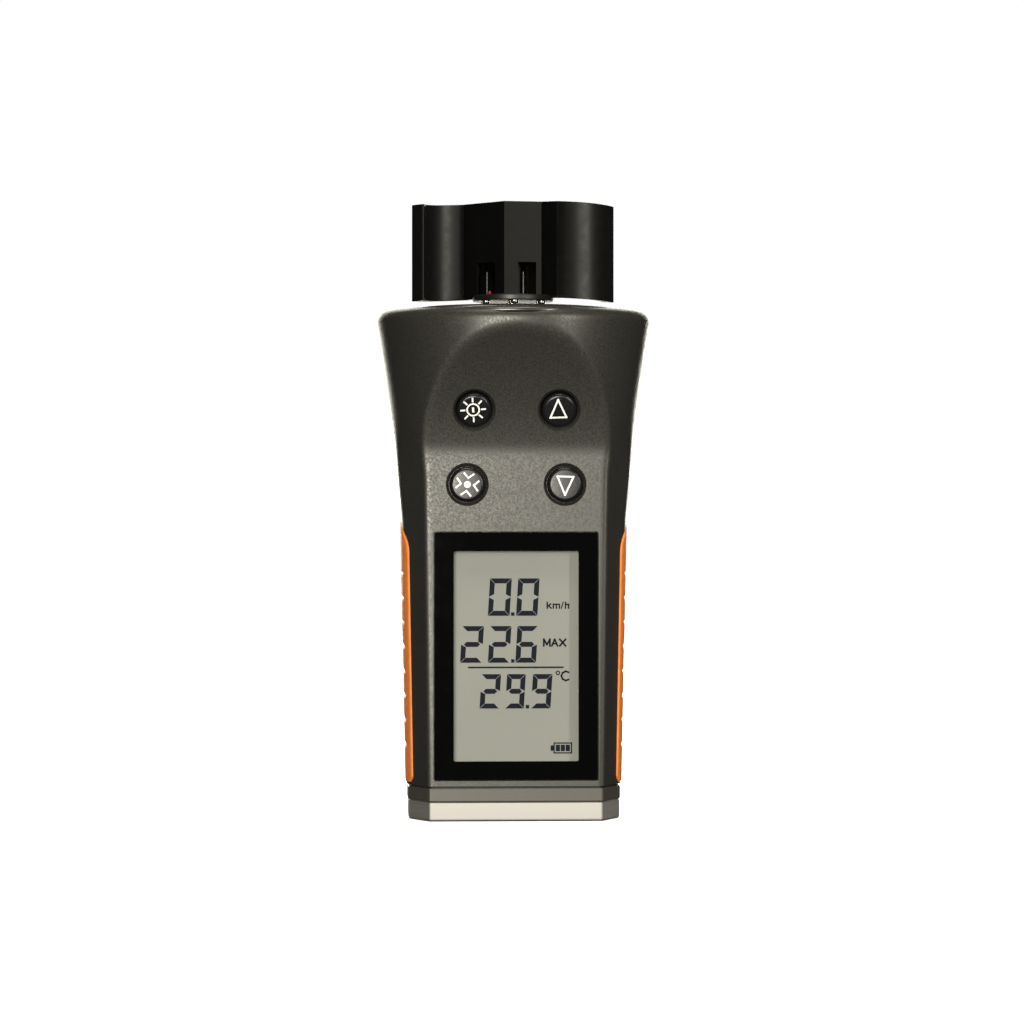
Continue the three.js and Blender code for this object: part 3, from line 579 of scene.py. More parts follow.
def on_face(x, height):
    """Places a lathe so that its +Z points out of the front face at (x, height)."""
    turn = Matrix.Rotation(math.pi / 2 + math.atan(face_lean(height)), 4, "X")
    return Matrix.Translation((x, -float(face_depth(height)), height)) @ turn


def key_place(name):
    """Where a key sits on the face, from its CAD node."""
    low, high = node_box(KEYS[name])
    return (low.x + high.x) / 2, UPPER_ROW if name in UPPER_KEYS else LOWER_ROW


def grip_outline(margin):
    half = GRIP_HALF_DEPTH + margin
    low, high = GRIP_LOW.z - margin, GRIP_HIGH.z + margin
    points = [(GRIP_CLIP - half, low), (half - GRIP_CLIP, low), (half, low + GRIP_CLIP)]
    for turn in np.linspace(0, math.pi, 33):
        points.append((half * math.cos(turn), high - GRIP_ROUND * (1 - math.sin(turn))))
    points.append((-half, low + GRIP_CLIP))
    return points


def rod_back(name, x, z, radius, front, back, steps=32):
    """A cylinder along Y through (x, z)."""
    rod = lathe(name, [(radius, front), (radius, back)], steps)
    place(rod, Matrix.Translation((x, 0, z)) @ Matrix.Rotation(-math.pi / 2, 4, "X"))
    return rod


def rod_up(name, x, y, radius, low, high, steps=32):
    rod = lathe(name, [(radius, low), (radius, high)], steps)
    place(rod, Matrix.Translation((x, y, 0)))
    return rod


def screw_centre(name):
    low, high = node_box(name)
    return (low + high) / 2


def housing_cavity():
    cavity = housing_solid("cavity", WALL, CAVITY_FLOOR, CAVITY_ROOF, 40, 128)
    posts = []
    for name in REAR_SCREWS:
        centre = screw_centre(name)
        posts.append(rod_back("post", centre.x, centre.z, 2.6, -FACE_DEPTH + 1, FACE_DEPTH - 1))
    for name in BASE_SCREWS:
        centre = screw_centre(name)
        posts.append(rod_up("post", centre.x, centre.y, 2.5, SHELL_LOW.z + 1, 17))
    return combine(cavity, posts)


def key_opening(name):
    """A dished recess with a soft lip around a round hole."""
    cutter = lathe("dish", RECESS_PROFILE, 96)
    place(cutter, on_face(*key_place(name)))
    return cutter


def grip_pocket(side):
    layer = housing_solid("layer", -2, GRIP_LOW.z - 1, GRIP_HIGH.z + 1, 24, 256)
    combine(layer, [housing_solid("inner", GRIP_THICKNESS + 0.3, GRIP_LOW.z - 2, GRIP_HIGH.z + 2, 24, 256)])
    zone = prism("zone", grip_outline(0.25), *((-40, -20) if side < 0 else (20, 40)), SIDE_AXES)
    return combine(layer, [zone], "INTERSECT")


def seam_groove():
    """A fine groove where the shells meet. The shells touch behind it, so no light shows through."""
    slab = block("seam", (-FAR, -SEAM_HALF_WIDTH, 0), (FAR, SEAM_HALF_WIDTH, TALL))
    core = housing_solid("core", SEAM_DEPTH, SHELL_LOW.z - 2, SHELL_HIGH.z, 60, 256, shoulder=True)
    place(core, Matrix.Translation((0, 0, -SEAM_DEPTH)))
    return combine(slab, [core])


def build_shells():
    body = housing_solid("body", 0, SHELL_LOW.z, SHELL_HIGH.z, 110, 448, shoulder=True)
    seat = CAP_LOW.z - 0.3
    lip = SHELL_HIGH.z
    cuts = [
        housing_cavity(),
        lathe("seat", [(29.25, seat), (29.25, lip - 0.3), (29.55, lip + 0.02), (29.6, lip + 3)], 192),
        rod_up("bore", 0, 0, 3, CAVITY_ROOF - 1, seat + 1),
        block("cells", (-CELL_HALF_WIDTH, -0.6, 8), (CELL_HALF_WIDTH, CELL_BACK, 12)),
        grip_pocket(-1),
        grip_pocket(1),
    ]
    for name in REAR_SCREWS:
        centre = screw_centre(name)
        hole = lathe("hole", REAR_HOLE_PROFILE, 48)
        place(hole, Matrix.Translation((centre.x, 0, centre.z)) @ Matrix.Rotation(-math.pi / 2, 4, "X"))
        cuts.append(hole)
    for name in BASE_SCREWS:
        centre = screw_centre(name)
        cuts.append(rod_up("hole", centre.x, centre.y, PILOT_RADIUS, 8, 16))
    cuts.append(seam_groove())
    combine(body, cuts)

    back = body.copy()
    back.data = body.data.copy()
    back.name = "rear_shell_skin"
    bpy.context.scene.collection.objects.link(back)
    body.name = "front_shell_skin"
    combine(back, [block("half", (-FAR, -FAR, 0), (FAR, 0, TALL))])
    wide, tall = PANE_WIDTH + PANE_CLEARANCE, PANE_HEIGHT + PANE_CLEARANCE
    pocket = front_stack("pocket", [
        (wide, tall, 0.5, -15.4),
        (wide, tall, 0.5, -16.85),
        (wide + PANE_LIP, tall + PANE_LIP, 0.65, -17.05),
        (wide + PANE_LIP, tall + PANE_LIP, 0.65, -30),
    ], PANE_CENTRE)
    view = front_stack("view", [(34.4, 56.8, 1.2, -10), (34.4, 56.8, 1.2, -16)], PANE_CENTRE)
    front_cuts = [block("half", (-FAR, 0, 0), (FAR, FAR, TALL)), pocket, view]
    front_cuts.extend(key_opening(name) for name in KEYS)
    combine(body, front_cuts)
    finish_piece(body, "housing", FINISHES["housing"], ["front_shell"], 28)
    finish_piece(back, "housing", FINISHES["housing"], ["rear_shell"], 28)


def build_head_cap():
    crown, rim, radius, bevel = CAP_HIGH.z - 0.2, 133.4, CAP_HIGH.x, 5.0
    low = CAP_LOW.z
    profile = [(1.3, low), (radius - 0.2, low), (radius, low + 0.2)]
    for turn in np.radians(np.linspace(0, 90, 15)):
        profile.append((radius - bevel * (1 - math.cos(turn)), rim + (crown - rim) * math.sin(turn)))
    profile.extend([(16, crown + 0.1), (8, CAP_HIGH.z), (1.5, CAP_HIGH.z), (1.3, CAP_HIGH.z - 0.2)])
    cap = lathe("head_cap_skin", profile, 192, closed=True)
    finish_piece(cap, "housing", HEAD_FINISH, ["head_cap"], 40)


def end_outline(inset, steps=5):
    """The lower end's chamfered outline with softened corners, as (x, y) points."""
    side = 27.9 - inset
    face = 22.7 - inset * 0.6
    depth = FACE_DEPTH - inset
    edge = CHAMFER_START - inset * 0.2
    corners = [
        (side, -edge), (side, edge), (face, depth), (-face, depth),
        (-side, edge), (-side, -edge), (-face, -depth), (face, -depth),
    ]
    reach = 0.5
    points = []
    for index, corner in enumerate(corners):
        corner = Vector(corner)
        before = (Vector(corners[index - 1]) - corner).normalized() * reach + corner
        after = (Vector(corners[(index + 1) % 8]) - corner).normalized() * reach + corner
        for share in np.linspace(0, 1, steps):
            first = before.lerp(corner, share)
            second = corner.lerp(after, share)
            points.append(tuple(first.lerp(second, share)))
    return points


def end_stack(name, layers):
    """A solid of end outlines from bottom to top: (inset, height)."""
    return grid_solid(name, [[(x, y, height) for x, y in end_outline(inset)] for inset, height in layers])


def build_lower_end():
    top = END_HIGH.z
    cap = end_stack("end_cap_skin", [
        (0.75, 0), (0.35, 0.12), (0.12, 0.4), (0.05, 0.8), (0.05, top - 0.25), (0.3, top),
    ])
    cuts = [rod_up("bore", 0, 0, 5.05, -1, top + 1, 64)]
    for name in BASE_SCREWS:
        centre = screw_centre(name)
        hole = lathe("hole", BASE_HOLE_PROFILE, 48)
        place(hole, Matrix.Translation((centre.x, centre.y, 0)))
        cuts.append(hole)
    combine(cap, cuts)
    finish_piece(cap, "housing", FINISHES["end_cap"], ["end_cap"], 25)

    low, high = BAND_LOW.z, BAND_HIGH.z
    band = end_stack("end_band_skin", [(0.1, low), (-0.15, low + 0.25), (-0.15, high - 0.25), (0.1, high)])
    cuts = [block("cells", (-CELL_HALF_WIDTH, -7, 4), (CELL_HALF_WIDTH, CELL_BACK, 10))]
    for name in BASE_SCREWS:
        centre = screw_centre(name)
        cuts.append(rod_up("hole", centre.x, centre.y, PILOT_RADIUS, 4, 12))
    combine(band, cuts)
    finish_piece(band, "housing", FINISHES["band"], ["end_band"], 25)

    socket = threaded_socket()
    finish_piece(socket, "housing", FINISHES["brass"], ["tripod_socket"], 30)


def threaded_socket():
    """The brass ring with a helical thread cut round its bore."""
    low, high = node_box("tripod_socket")
    pitch, depth, turn_steps = 1.27, 0.35, 48
    bore, outer = 3.1, high.x
    levels = np.arange(low.z, high.z + 1e-6, pitch / 8)
    angles = np.linspace(0, 2 * math.pi, turn_steps, endpoint=False)
    vertices, faces = [], []
    for level in levels:
        phase = (level / pitch - angles / (2 * math.pi)) % 1
        radius = bore + depth * np.abs(2 * phase - 1)
        vertices.append(ring_points(radius, angles, level))
    top, bevel = levels[-1], 0.2
    outside = [(outer - bevel, top), (outer, top - bevel), (outer, low.z + bevel), (outer - bevel, low.z)]
    for radius, level in outside:
        vertices.append(ring_points(radius, angles, level))
    count = len(vertices)
    for ring in range(count):
        after_ring = (ring + 1) % count
        for index in range(turn_steps):
            after = (index + 1) % turn_steps
            faces.append((
                ring * turn_steps + after, ring * turn_steps + index,
                after_ring * turn_steps + index, after_ring * turn_steps + after,
            ))
    return make_object("tripod_socket_skin", np.concatenate(vertices), faces)


def build_grips():
    for side, name in ((-1, "left_grip"), (1, "right_grip")):
        skin = housing_solid("grip", -GRIP_PROUD, GRIP_LOW.z - 1, GRIP_HIGH.z + 1, 24, 256)
        combine(skin, [housing_solid("inner", GRIP_THICKNESS, GRIP_LOW.z - 2, GRIP_HIGH.z + 2, 24, 256)])
        zone = prism("zone", grip_outline(-0.05), *((-40, -20) if side < 0 else (20, 40)), SIDE_AXES)
        combine(skin, [zone], "INTERSECT")
        combine(skin, [groove(side, number) for number in range(GROOVE_COUNT)])
        remesh = skin.modifiers.new("even", "REMESH")
        remesh.mode = "VOXEL"
        remesh.voxel_size = 0.28 * MM
        relax = skin.modifiers.new("relax", "SMOOTH")
        relax.factor = 0.5
        relax.iterations = 3
        baked_mesh(skin)
        skin.name = f"{name}_skin"
        finish_piece(skin, "housing", FINISHES["grip"], [name], 60)


def groove(side, number):
    """A slot across a grip's outer face, with its floor parallel to the face."""
    height = GROOVE_START + GROOVE_PITCH * number
    floor = float(half_width(height)) + GRIP_PROUD - GROOVE_DEPTH
    reach, half = 7.2, GROOVE_WIDTH / 2
    left, right = (floor, 40) if side > 0 else (-40, -floor)
    return block("groove", (left, -reach, height - half), (right, reach, height + half))


def build_window():
    front, back = PANE_LOW.y, PANE_HIGH.y
    border = front_stack("window_border", [
        (PANE_WIDTH, PANE_HEIGHT, 0.4, back),
        (PANE_WIDTH, PANE_HEIGHT, 0.4, front + 0.15),
        (PANE_WIDTH - 0.3, PANE_HEIGHT - 0.3, 0.35, front),
    ], PANE_CENTRE)
    opening = front_stack("opening", [
        (VIEW_WIDTH, VIEW_HEIGHT, 0.5, back + 1), (VIEW_WIDTH, VIEW_HEIGHT, 0.5, front - 1),
    ], PANE_CENTRE)
    combine(border, [opening])
    lens = front_stack("window_lens", [
        (VIEW_WIDTH - 0.02, VIEW_HEIGHT - 0.02, 0.5, front + 0.45),
        (VIEW_WIDTH - 0.02, VIEW_HEIGHT - 0.02, 0.5, front + 0.005),
    ], PANE_CENTRE)
    finish_piece(border, "housing", FINISHES["window"], ["display_window"], 25)
    finish_piece(lens, "housing", CLEAR, (), 25)


# ----------------------------------------------------------------------------------------------
# Keys and their symbols
# ----------------------------------------------------------------------------------------------

KEY_STEMS = {"power": 6.8, "up": 6.8, "rotor": 4.1, "down": 4.1}
KEY_STEM_RADIUS = 1.6
# Radius and height, from the flange behind the face to the middle of the crown
KEY_PROFILE = [
    (KEY_STEM_RADIUS, -3.8), (5.1, -3.8), (5.25, -3.65), (5.25, -3.05), (4.6, -3.0),
    (4.6, 0.1), (4.56, 0.3), (4.42, 0.52), (4.2, 0.72), (3.95, 0.86), (3.75, 0.92),
    (3.6, 0.93), (2.6, 0.955), (1.4, 0.975), (0.4, 0.98),
]


def build_key(name):
    x, height = key_place(name)
    stem = KEY_STEMS[name]
    key = lathe(f"key_{name}", [(KEY_STEM_RADIUS, -stem), *KEY_PROFILE], 96)
    place(key, on_face(x, height))
    finish_piece(key, f"{name}_key", FINISHES["button"], [KEYS[name]], 45)
    symbol = SYMBOLS[name]()
    shift = SYMBOL_SHIFT if name in UPPER_KEYS else (0, 0, 0)
    place(symbol, on_face(x, height) @ Matrix.Translation(shift))
    finish_piece(symbol, f"{name}_key", WHITE, (), 30)


SYMBOL_LOW, SYMBOL_TOP = 0.9, 1.0
SYMBOL_SHIFT = (-0.3, 0.3, 0)


def stroke(start, end, width):
    """A straight stroke with square ends, as an outline."""
    start, end = Vector(start), Vector(end)
    along = (end - start).normalized() * width / 2
    across = Vector((-along.y, along.x))
    return [start - along - across, end + along - across, end + along + across, start - along + across]


def plates(name, outlines, turn=0.0):
    """Thin raised prints from convex outlines, turned by some degrees about the key's centre."""
    spin = Matrix.Rotation(math.radians(turn), 2)
    joined = None
    for outline in outlines:
        points = anticlockwise([spin @ Vector(point) for point in outline])
        plate = prism(name, [tuple(point) for point in points], SYMBOL_LOW, SYMBOL_TOP)
        joined = plate if joined is None else combine(joined, [plate], "UNION")
    joined.name = name
    return joined


def sun_symbol():
    width = 0.42
    outlines = [stroke((0, -0.42), (0, 0.42), 0.55)]
    for step in range(8):
        angle = math.radians(45 * step)
        direction = Vector((math.cos(angle), math.sin(angle)))
        outlines.append(stroke(direction * 2.25, direction * 3.12, width))
    symbol = plates("symbol_power", outlines, 4)
    low, high = SYMBOL_LOW, SYMBOL_TOP
    ring = lathe("ring", [(1.38, low), (1.78, low), (1.78, high), (1.38, high)], 64, closed=True)
    return combine(symbol, [ring], "UNION")


def triangle_symbol(name, upwards, turn):
    rise = 1 if upwards else -1
    apex, left, right = (0, 2.75 * rise), (-2.1, -2.05 * rise), (2.1, -2.05 * rise)
    sides = [(apex, left), (left, right), (right, apex)]
    return plates(name, [stroke(start, end, 0.45) for start, end in sides], turn)


def rotor_symbol():
    turns = np.linspace(0, 2 * math.pi, 32, endpoint=False)
    outlines = [[(0.9 * math.cos(turn), 0.9 * math.sin(turn)) for turn in turns]]
    for quarter in range(4):
        spin = Matrix.Rotation(math.radians(90 * quarter), 2)
        inner = spin @ Vector((0, 1.7))
        for side in (-1.2, 1.2):
            outlines.append(stroke(inner, spin @ Vector((side, 2.8)), 0.46))
    return plates("symbol_rotor", outlines, -8)


SYMBOLS = {
    "power": sun_symbol,
    "up": lambda: triangle_symbol("symbol_up", True, 2),
    "rotor": rotor_symbol,
    "down": lambda: triangle_symbol("symbol_down", False, -1.5),
}


# ----------------------------------------------------------------------------------------------
# Display content: generic figures and units
# ----------------------------------------------------------------------------------------------

INK_DEPTH = 0.05
SLANT = 0.06
SEGMENT_WIDTH = 1.3
SEGMENT_GAP = 0.08
SEGMENTS = {"0": "abcdef", "2": "abged", "6": "afgedc", "9": "abcdfg"}

# Strokes of the unit letters, on a grid one unit wide and one unit high.
LETTERS = {
    "M": [((0, 0), (0, 1)), ((0, 1), (0.5, 0.2)), ((0.5, 0.2), (1, 1)), ((1, 1), (1, 0))],
    "A": [((0, 0), (0.5, 1)), ((0.5, 1), (1, 0)), ((0.22, 0.34), (0.78, 0.34))],
    "X": [((0, 0), (1, 1)), ((0, 1), (1, 0))],
    "C": [
        ((1, 0.9), (0.6, 1)), ((0.6, 1), (0.2, 0.85)), ((0.2, 0.85), (0, 0.5)),
        ((0, 0.5), (0.2, 0.15)), ((0.2, 0.15), (0.6, 0)), ((0.6, 0), (1, 0.1)),
    ],
    "k": [((0, 0), (0, 1)), ((0, 0.3), (0.9, 0.72)), ((0.35, 0.42), (1, 0))],
    "m": [((0, 0), (0, 0.7)), ((0, 0.66), (1, 0.66)), ((0.5, 0), (0.5, 0.66)), ((1, 0), (1, 0.66))],
    "/": [((0, -0.05), (1, 1.05))],
    "h": [((0, 0), (0, 1)), ((0, 0.62), (0.8, 0.66)), ((0.9, 0), (0.9, 0.62))],
}

# Letter, left, low, width, height and stroke, in the plane of the display.
UNITS = [
    ("k", 8.3, 55.7, 1.0, 1.5, 0.38), ("m", 9.9, 55.7, 1.6, 1.5, 0.36), ("/", 12.0, 55.7, 0.5, 1.5, 0.28),
    ("h", 13.1, 55.7, 0.9, 1.5, 0.38), ("M", 7.4, 45.8, 1.6, 1.7, 0.46), ("A", 9.5, 45.8, 1.5, 1.7, 0.43),
    ("X", 11.6, 45.8, 1.5, 1.7, 0.46), ("C", 12.0, 36.7, 1.9, 2.4, 0.45),
]


def segment_outlines(digit, left, right, low, high):
    """The lit segments of one figure, as (x, z) outlines whose ends are cut to meet at 45 degrees."""
    wide, gap = SEGMENT_WIDTH, SEGMENT_GAP
    middle, half = (low + high) / 2, SEGMENT_WIDTH / 2
    upright = [
        (left, high - gap), (left, middle + gap),
        (left + wide, middle + half + gap), (left + wide, high - wide - gap),
    ]
    bar = [
        (left + gap, high), (left + wide + gap, high - wide),
        (right - wide - gap, high - wide), (right - gap, high),
    ]
    centre = [
        (left + half + gap, middle), (left + wide + gap, middle - half), (right - wide - gap, middle - half),
        (right - half - gap, middle), (right - wide - gap, middle + half), (left + wide + gap, middle + half),
    ]

    def mirrored(outline, across=False, over=False):
        return [(left + right - x if across else x, low + high - z if over else z) for x, z in outline]

    shapes = {
        "a": bar, "d": mirrored(bar, over=True), "g": centre, "f": upright,
        "b": mirrored(upright, across=True), "e": mirrored(upright, over=True),
        "c": mirrored(upright, across=True, over=True),
    }
    return [[Vector((x + SLANT * (z - middle), z)) for x, z in shapes[name]] for name in SEGMENTS[digit]]


def letter_outlines(letter, left, low, width, height, weight):
    outlines = []
    for start, end in LETTERS[letter]:
        first, last = (Vector((left + x * width, low + z * height)) for x, z in (start, end))
        outlines.append(stroke(first, last, weight))
    return outlines


def rectangle(left, right, low, high):
    return [Vector((left, low)), Vector((right, low)), Vector((right, high)), Vector((left, high))]


def circle_strokes(x, z, radius, weight, steps=16):
    """A round line as short strokes."""
    turns = np.linspace(0, 2 * math.pi, steps + 1)
    points = [Vector((x + radius * math.cos(turn), z + radius * math.sin(turn))) for turn in turns]
    return [stroke(first, second, weight) for first, second in zip(points, points[1:])]


def battery_outlines():
    left, right, low, high, line = 9.95, 14.85, 17.55, 20.45, 0.32
    outlines = [
        rectangle(left, right, low, low + line), rectangle(left, right, high - line, high),
        rectangle(left, left + line, low, high), rectangle(right - line, right, low, high),
        rectangle(left - 0.75, left, low + 0.75, high - 0.75),
    ]
    for number in range(3):
        start = left + 0.6 + number * 1.3
        outlines.append(rectangle(start, start + 1.1, low + 0.6, high - 0.6))
    return outlines


def display_outlines():
    figures = [
        ("0", -7.0, -1.3, 53.7, 63.5), ("0", 0.4, 6.0, 53.7, 63.5),
        ("2", -14.3, -8.6, 41.4, 51.0), ("2", -7.0, -1.4, 41.4, 51.0), ("6", 0.2, 5.6, 41.4, 51.0),
        ("2", -9.2, -4.1, 29.4, 38.4), ("9", -2.5, 2.4, 29.4, 38.4), ("9", 4.3, 9.4, 29.4, 38.4),
    ]
    outlines = [rectangle(-12.5, 12.6, 39.95, 40.38)]
    for figure in figures:
        outlines.extend(segment_outlines(*figure))
    for x, z in ((-0.75, 53.9), (-0.75, 41.6), (3.1, 29.6)):
        outlines.append(rectangle(x - 0.45, x + 0.45, z - 0.2, z + 0.7))
    for unit in UNITS:
        outlines.extend(letter_outlines(*unit))
    outlines.extend(circle_strokes(11.1, 38.7, 0.45, 0.25))
    outlines.extend(battery_outlines())
    return outlines


def build_display():
    front = LCD_LOW.y - INK_DEPTH
    vertices, faces = [], []
    for outline in display_outlines():
        outline = anticlockwise(outline)
        start, count = len(vertices), len(outline)
        vertices.extend((point.x, front, point.y) for point in outline)
        vertices.extend((point.x, LCD_LOW.y, point.y) for point in outline)
        faces.append([start + index for index in range(count)])
        faces.append([start + count + index for index in reversed(range(count))])
        for index in range(count):
            after = (index + 1) % count
            faces.append([start + index, start + count + index, start + count + after, start + after])
    figures = make_object("display_figures", vertices, faces)
    finish_piece(figures, "housing", INK, (), 30)


# ----------------------------------------------------------------------------------------------
# Rotor
# ----------------------------------------------------------------------------------------------

BLADE_ARCH = 1.1
BLADE_SPAN = 27.0
BLADE_EDGE = 0.18
HUB_CORNER = (-2.5, -3.7)
HUB_SLANT = 43.6
HUB_HOLLOW = [(6.2, -1.56), (2.06, 2.4), (-6.2, 1.56), (-2.06, -2.4)]
HUB_CAVITY_TOP = 158.0
BLADE_TOP = ROTOR_HIGH.z
BLADE_BOTTOM = 137.8
DISC_TOP = BLADE_BOTTOM + 0.6
SLOT_TOP = BLADE_BOTTOM + 9.4
HUB_RIBS = [(-6.9, 0.75), (2.7, -0.95)]
POLE_MARK = (-6.2, -0.05)


def spline(points, per_span=8):
    """A Catmull-Rom curve through points."""
    points = np.asarray(points, float)
    padded = np.vstack([2 * points[0] - points[1], points, 2 * points[-1] - points[-2]])
    curve = []
    for index in range(len(points) - 1):
        a, b, c, d = padded[index:index + 4]
        for share in np.linspace(0, 1, per_span, endpoint=False):
            curve.append(0.5 * (
                2 * b + (c - a) * share + (2 * a - 5 * b + 4 * c - d) * share**2
                + (3 * b - a - 3 * c + d) * share**3
            ))
    curve.append(points[-1])
    return np.array(curve)


def blade_outline():
    """Half of the rotor's plan: out along the convex side, round the tip and back to the hub."""
    convex = spline([
        (11.2, -6.6), (13.6, -7.05), (17, -6.85), (20.4, -5.8), (23.4, -3.7), (25.7, -0.9), (26.9, 1.3),
    ])
    tip = spline([(26.9, 1.3), (26.6, 1.75), (25.4, 2.3), (24.1, 2.75), (23.6, 2.4)], 5)
    hollow = spline([
        (23.6, 2.4), (23.2, 0.4), (21.7, -2.4), (19.5, -4.4), (17, -5.5), (14.2, -6), (13, -5.9),
    ])
    half = np.vstack([[(7.4, -2.7)], convex, tip[1:-1], hollow, [(-HUB_CORNER[0], -HUB_CORNER[1])]])
    return np.vstack([half, -half])


def offset_outline(outline, distance):
    """The outline moved inwards by a small distance."""
    before = outline - np.roll(outline, 1, axis=0)
    after = np.roll(outline, -1, axis=0) - outline
    before /= np.linalg.norm(before, axis=1, keepdims=True)
    after /= np.linalg.norm(after, axis=1, keepdims=True)
    first = np.column_stack([-before[:, 1], before[:, 0]])
    second = np.column_stack([-after[:, 1], after[:, 0]])
    normal = first + second
    normal /= np.maximum(0.6, (normal**2).sum(1, keepdims=True) / 2)
    return outline + normal * distance


def arched_prism(name, outline, low, high, edge):
    """Walls over an outline whose top and bottom drop towards the blades' ends, with soft edges."""
    inner = offset_outline(outline, edge)

    def ring(points, height):
        radius = np.linalg.norm(points, axis=1)
        drop = BLADE_ARCH * (radius / BLADE_SPAN)**2
        return np.column_stack([points, height - drop])

    eased = offset_outline(outline, edge * 0.3)
    rings = [
        ring(inner, low), ring(eased, low + edge * 0.3), ring(outline, low + edge),
        ring(outline, high - edge), ring(eased, high - edge * 0.3), ring(inner, high),
    ]
    count = len(outline)
    vertices = np.concatenate(rings)
    faces = []
    for level in range(len(rings) - 1):
        for index in range(count):
            after = (index + 1) % count
            faces.append((
                level * count + index, level * count + after,
                (level + 1) * count + after, (level + 1) * count + index,
            ))
    triangles = tessellate_polygon([[Vector((x, y, 0)) for x, y in inner]])
    top = (len(rings) - 1) * count
    for triangle in triangles:
        a, b, c = (Vector(inner[index]) for index in triangle)
        turn = (b - a).cross(c - a)
        upward = triangle if turn > 0 else triangle[::-1]
        faces.append(tuple(top + index for index in upward))
        faces.append(tuple(upward[::-1]))
    return make_object(name, vertices, faces)


def hub_slots():
    low = DISC_TOP
    turn = Matrix.Translation((*HUB_CORNER, 0)) @ Matrix.Rotation(math.radians(-HUB_SLANT), 4, "Z")
    through = block("slot", (-7.6, -1, low), (-3.2, 1.35, SLOT_TOP))
    recess = block("slot", (-9.5, -1, low), (-7.5, 0.9, SLOT_TOP))
    for cutter in (through, recess):
        place(cutter, turn)
    return [through, recess, block("slot", (1.2, -5, low), (6, -1.6, SLOT_TOP))]


def build_rotor():
    rotor = arched_prism("rotor_skin", blade_outline(), BLADE_BOTTOM, BLADE_TOP, BLADE_EDGE)
    cuts = [prism("hollow", HUB_HOLLOW, BLADE_BOTTOM - 2, HUB_CAVITY_TOP)]
    cuts.extend(hub_slots())
    cuts.append(rod_up("bearing", 0, 0, 1.8, HUB_CAVITY_TOP - 1, HUB_CAVITY_TOP + 3.6))
    combine(rotor, cuts)
    finish_piece(rotor, "rotor", FINISHES["rotor"], ["rotor"], 30)

    low = ROTOR_LOW.z + 0.1
    top = DISC_TOP - 0.02
    disc = lathe("rotor_disc", [
        (1.8, low), (10.5, low), (10.8, low + 0.3), (10.8, DISC_TOP - 0.3), (10.5, top), (1.8, top),
    ], 128, closed=True)
    magnets = [name for name in nodes if name.startswith("rotor_magnet")]
    holes = []
    for name in magnets:
        corner, far = node_box(name)
        centre = (corner + far) / 2
        holes.append(rod_up("hole", centre.x, centre.y, 1.15, 130, BLADE_BOTTOM + 0.2))
        stud = lathe(f"{name}_skin", [
            (0.5, corner.z), (0.8, corner.z + 0.07), (1.0, corner.z + 0.25),
            (1.1, corner.z + 0.55), (1.1, far.z),
        ], 40)
        place(stud, Matrix.Translation((centre.x, centre.y, 0)))
        finish_piece(stud, "rotor", FINISHES["steel"], [name], 50)
    combine(disc, holes)
    finish_piece(disc, "rotor", FINISHES["rotor"], (), 30)

    for number, (x, y) in enumerate(HUB_RIBS):
        rib = rod_up(f"hub_rib_{number + 1}", x, y, 0.3, DISC_TOP - 0.05, DISC_TOP + 6.3, 24)
        finish_piece(rib, "rotor", FINISHES["button"], (), 30)
    bead = lathe("pole_mark", [
        (0.2, DISC_TOP - 0.05), (0.45, DISC_TOP + 0.1), (0.45, DISC_TOP + 0.9),
        (0.3, DISC_TOP + 1.15), (0.05, DISC_TOP + 1.2),
    ], 32)
    place(bead, Matrix.Translation((*POLE_MARK, 0)))
    finish_piece(bead, "rotor", FINISHES["jewel"], (), 50)


# ----------------------------------------------------------------------------------------------
# Screws
# ----------------------------------------------------------------------------------------------

def screw(name, head, thickness, length, matrix):
    """A pan-head screw with a cross recess. Its head points to -Z before it is placed."""
    shank = 1.05
    profile = [
        (head * 0.72, 0), (head * 0.88, 0.12), (head * 0.97, 0.35), (head, 0.65),
        (head, thickness), (shank, thickness),
    ]
    pitch = 0.55
    level = thickness + 0.4
    while level < length - 0.8:
        profile.extend([(shank * 0.84, level), (shank, level + pitch / 2)])
        level += pitch
    profile.append((0.25, length))
    piece = lathe(f"{name}_skin", profile, 48)
    arm, slot, depth = head * 0.55, head * 0.13, thickness * 0.6
    combine(piece, [
        block("arm", (-arm, -slot, -1), (arm, slot, depth)),
        block("arm", (-slot, -arm, -1), (slot, arm, depth)),
    ])
    place(piece, matrix)
    finish_piece(piece, "housing", FINISHES["steel"], [name], 35)


def build_screws():
    for name in BASE_SCREWS:
        low, high = node_box(name)
        centre = (low + high) / 2
        screw(name, 2.25, 1.2, high.z - low.z, Matrix.Translation((centre.x, centre.y, low.z)))
    for name in REAR_SCREWS:
        low, high = node_box(name)
        centre = (low + high) / 2
        turn = Matrix.Rotation(math.pi / 2, 4, "X")
        screw(name, 2.4, 1.2, high.y - low.y, Matrix.Translation((centre.x, high.y, centre.z)) @ turn)


# ----------------------------------------------------------------------------------------------
# Stage, light and camera
# ----------------------------------------------------------------------------------------------

def area_light(name, position, target, size, power, color=(1.0, 0.96, 0.83)):
    light = bpy.data.lights.new(name, "AREA")
    light.shape = "RECTANGLE"
    light.size, light.size_y = size
    light.energy = power
    light.color = color
    lamp = bpy.data.objects.new(name, light)
    lamp.location = position
    lamp.rotation_euler = (Vector(target) - Vector(position)).to_track_quat("-Z", "Y").to_euler()
    bpy.context.scene.collection.objects.link(lamp)
    return lamp


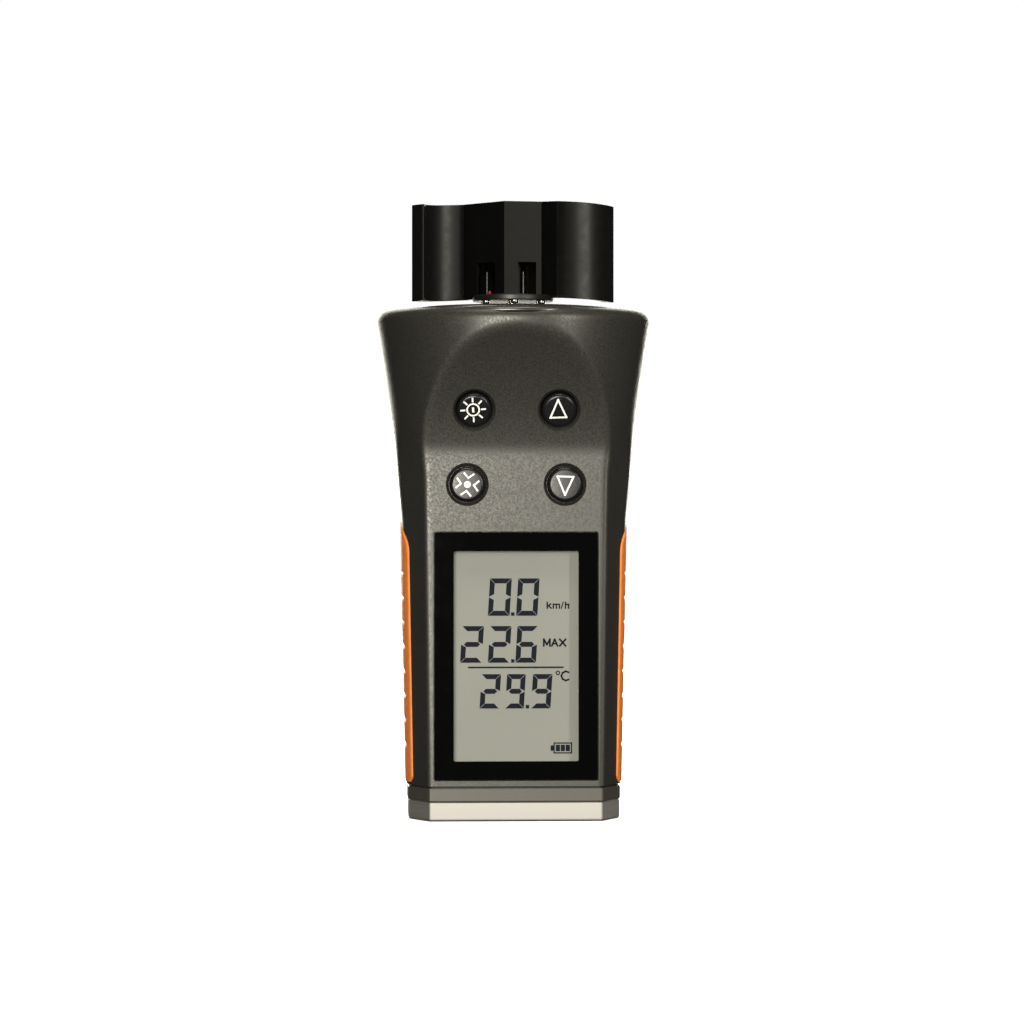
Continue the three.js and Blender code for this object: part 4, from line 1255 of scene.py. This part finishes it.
def build_stage():
    """The floor, the world and the lights. The key light is flagged off from the rotor."""
    reach = 4000
    corners = [(-reach, -reach, 0), (reach, -reach, 0), (reach, reach, 0), (-reach, reach, 0)]
    floor = make_object("floor", corners, [(0, 1, 2, 3)])
    paper = Surface("paper", (0.9, 0.9, 0.89), 0.9)
    floor.data.materials.append(paper.material)
    floor.visible_glossy = False
    floor.visible_diffuse = False

    floor_only = bpy.data.collections.new("floor_only")
    floor_only.objects.link(floor)
    wash = bpy.data.lights.new("floor_wash", "SUN")
    wash.energy = 4.0
    wash.angle = math.radians(120)
    sun = bpy.data.objects.new("floor_wash", wash)
    bpy.context.scene.collection.objects.link(sun)
    sun.light_linking.receiver_collection = floor_only

    world = bpy.data.worlds.new("studio")
    bpy.context.scene.world = world
    world.use_nodes = True
    tree = world.node_tree
    backdrop = tree.nodes["Background"]
    backdrop.inputs["Color"].default_value = (1, 1, 1, 1)
    backdrop.inputs["Strength"].default_value = 1.0
    room = tree.nodes.new("ShaderNodeBackground")
    room.inputs["Color"].default_value = (0.9, 0.95, 1.0, 1)
    room.inputs["Strength"].default_value = 0.04
    rays = tree.nodes.new("ShaderNodeLightPath")
    mixer = tree.nodes.new("ShaderNodeMixShader")
    tree.links.new(rays.outputs["Is Camera Ray"], mixer.inputs[0])
    tree.links.new(room.outputs[0], mixer.inputs[1])
    tree.links.new(backdrop.outputs[0], mixer.inputs[2])
    tree.links.new(mixer.outputs[0], tree.nodes["World Output"].inputs["Surface"])

    unlit_by_key = bpy.data.collections.new("unlit_by_key")
    unlit_by_key.objects.link(bpy.data.objects["rotor_skin"])
    unlit_by_key.collection_objects[0].light_linking.link_state = "EXCLUDE"

    aim = (0, 0, 0.09)
    key = area_light("key", (-0.22, -1.25, 0.12), aim, (0.42, 0.42), 23)
    key.light_linking.receiver_collection = unlit_by_key
    area_light("right", (0.8, -1.02, 0.36), aim, (0.15, 0.5), 8)
    area_light("top", (0.0, -0.3, 0.9), aim, (0.45, 0.3), 4)
    area_light("behind", (0, 1.1, 0.95), aim, (1.3, 0.7), 14)
    area_light("back", (0, 1.4, 0.3), aim, (1.4, 0.6), 22)


def build_camera():
    distance, height, yaw = 1.0, 0.0809, math.radians(2.8)
    camera_data = bpy.data.cameras.new("camera")
    camera_data.lens = 132.2
    camera_data.sensor_width = 36
    camera_data.clip_start = 0.01
    camera = bpy.data.objects.new("camera", camera_data)
    camera.location = (-distance * math.sin(yaw), -distance * math.cos(yaw), height)
    target = Vector((-0.00027, 0, height))
    camera.rotation_euler = (target - camera.location).to_track_quat("-Z", "Y").to_euler()
    bpy.context.scene.collection.objects.link(camera)
    bpy.context.scene.camera = camera


build_shells()
build_head_cap()
build_lower_end()
build_grips()
build_window()
for key_name in KEYS:
    build_key(key_name)
build_display()
build_rotor()
build_screws()
build_camera()
build_stage()
bpy.context.scene.view_settings.view_transform = "Standard"
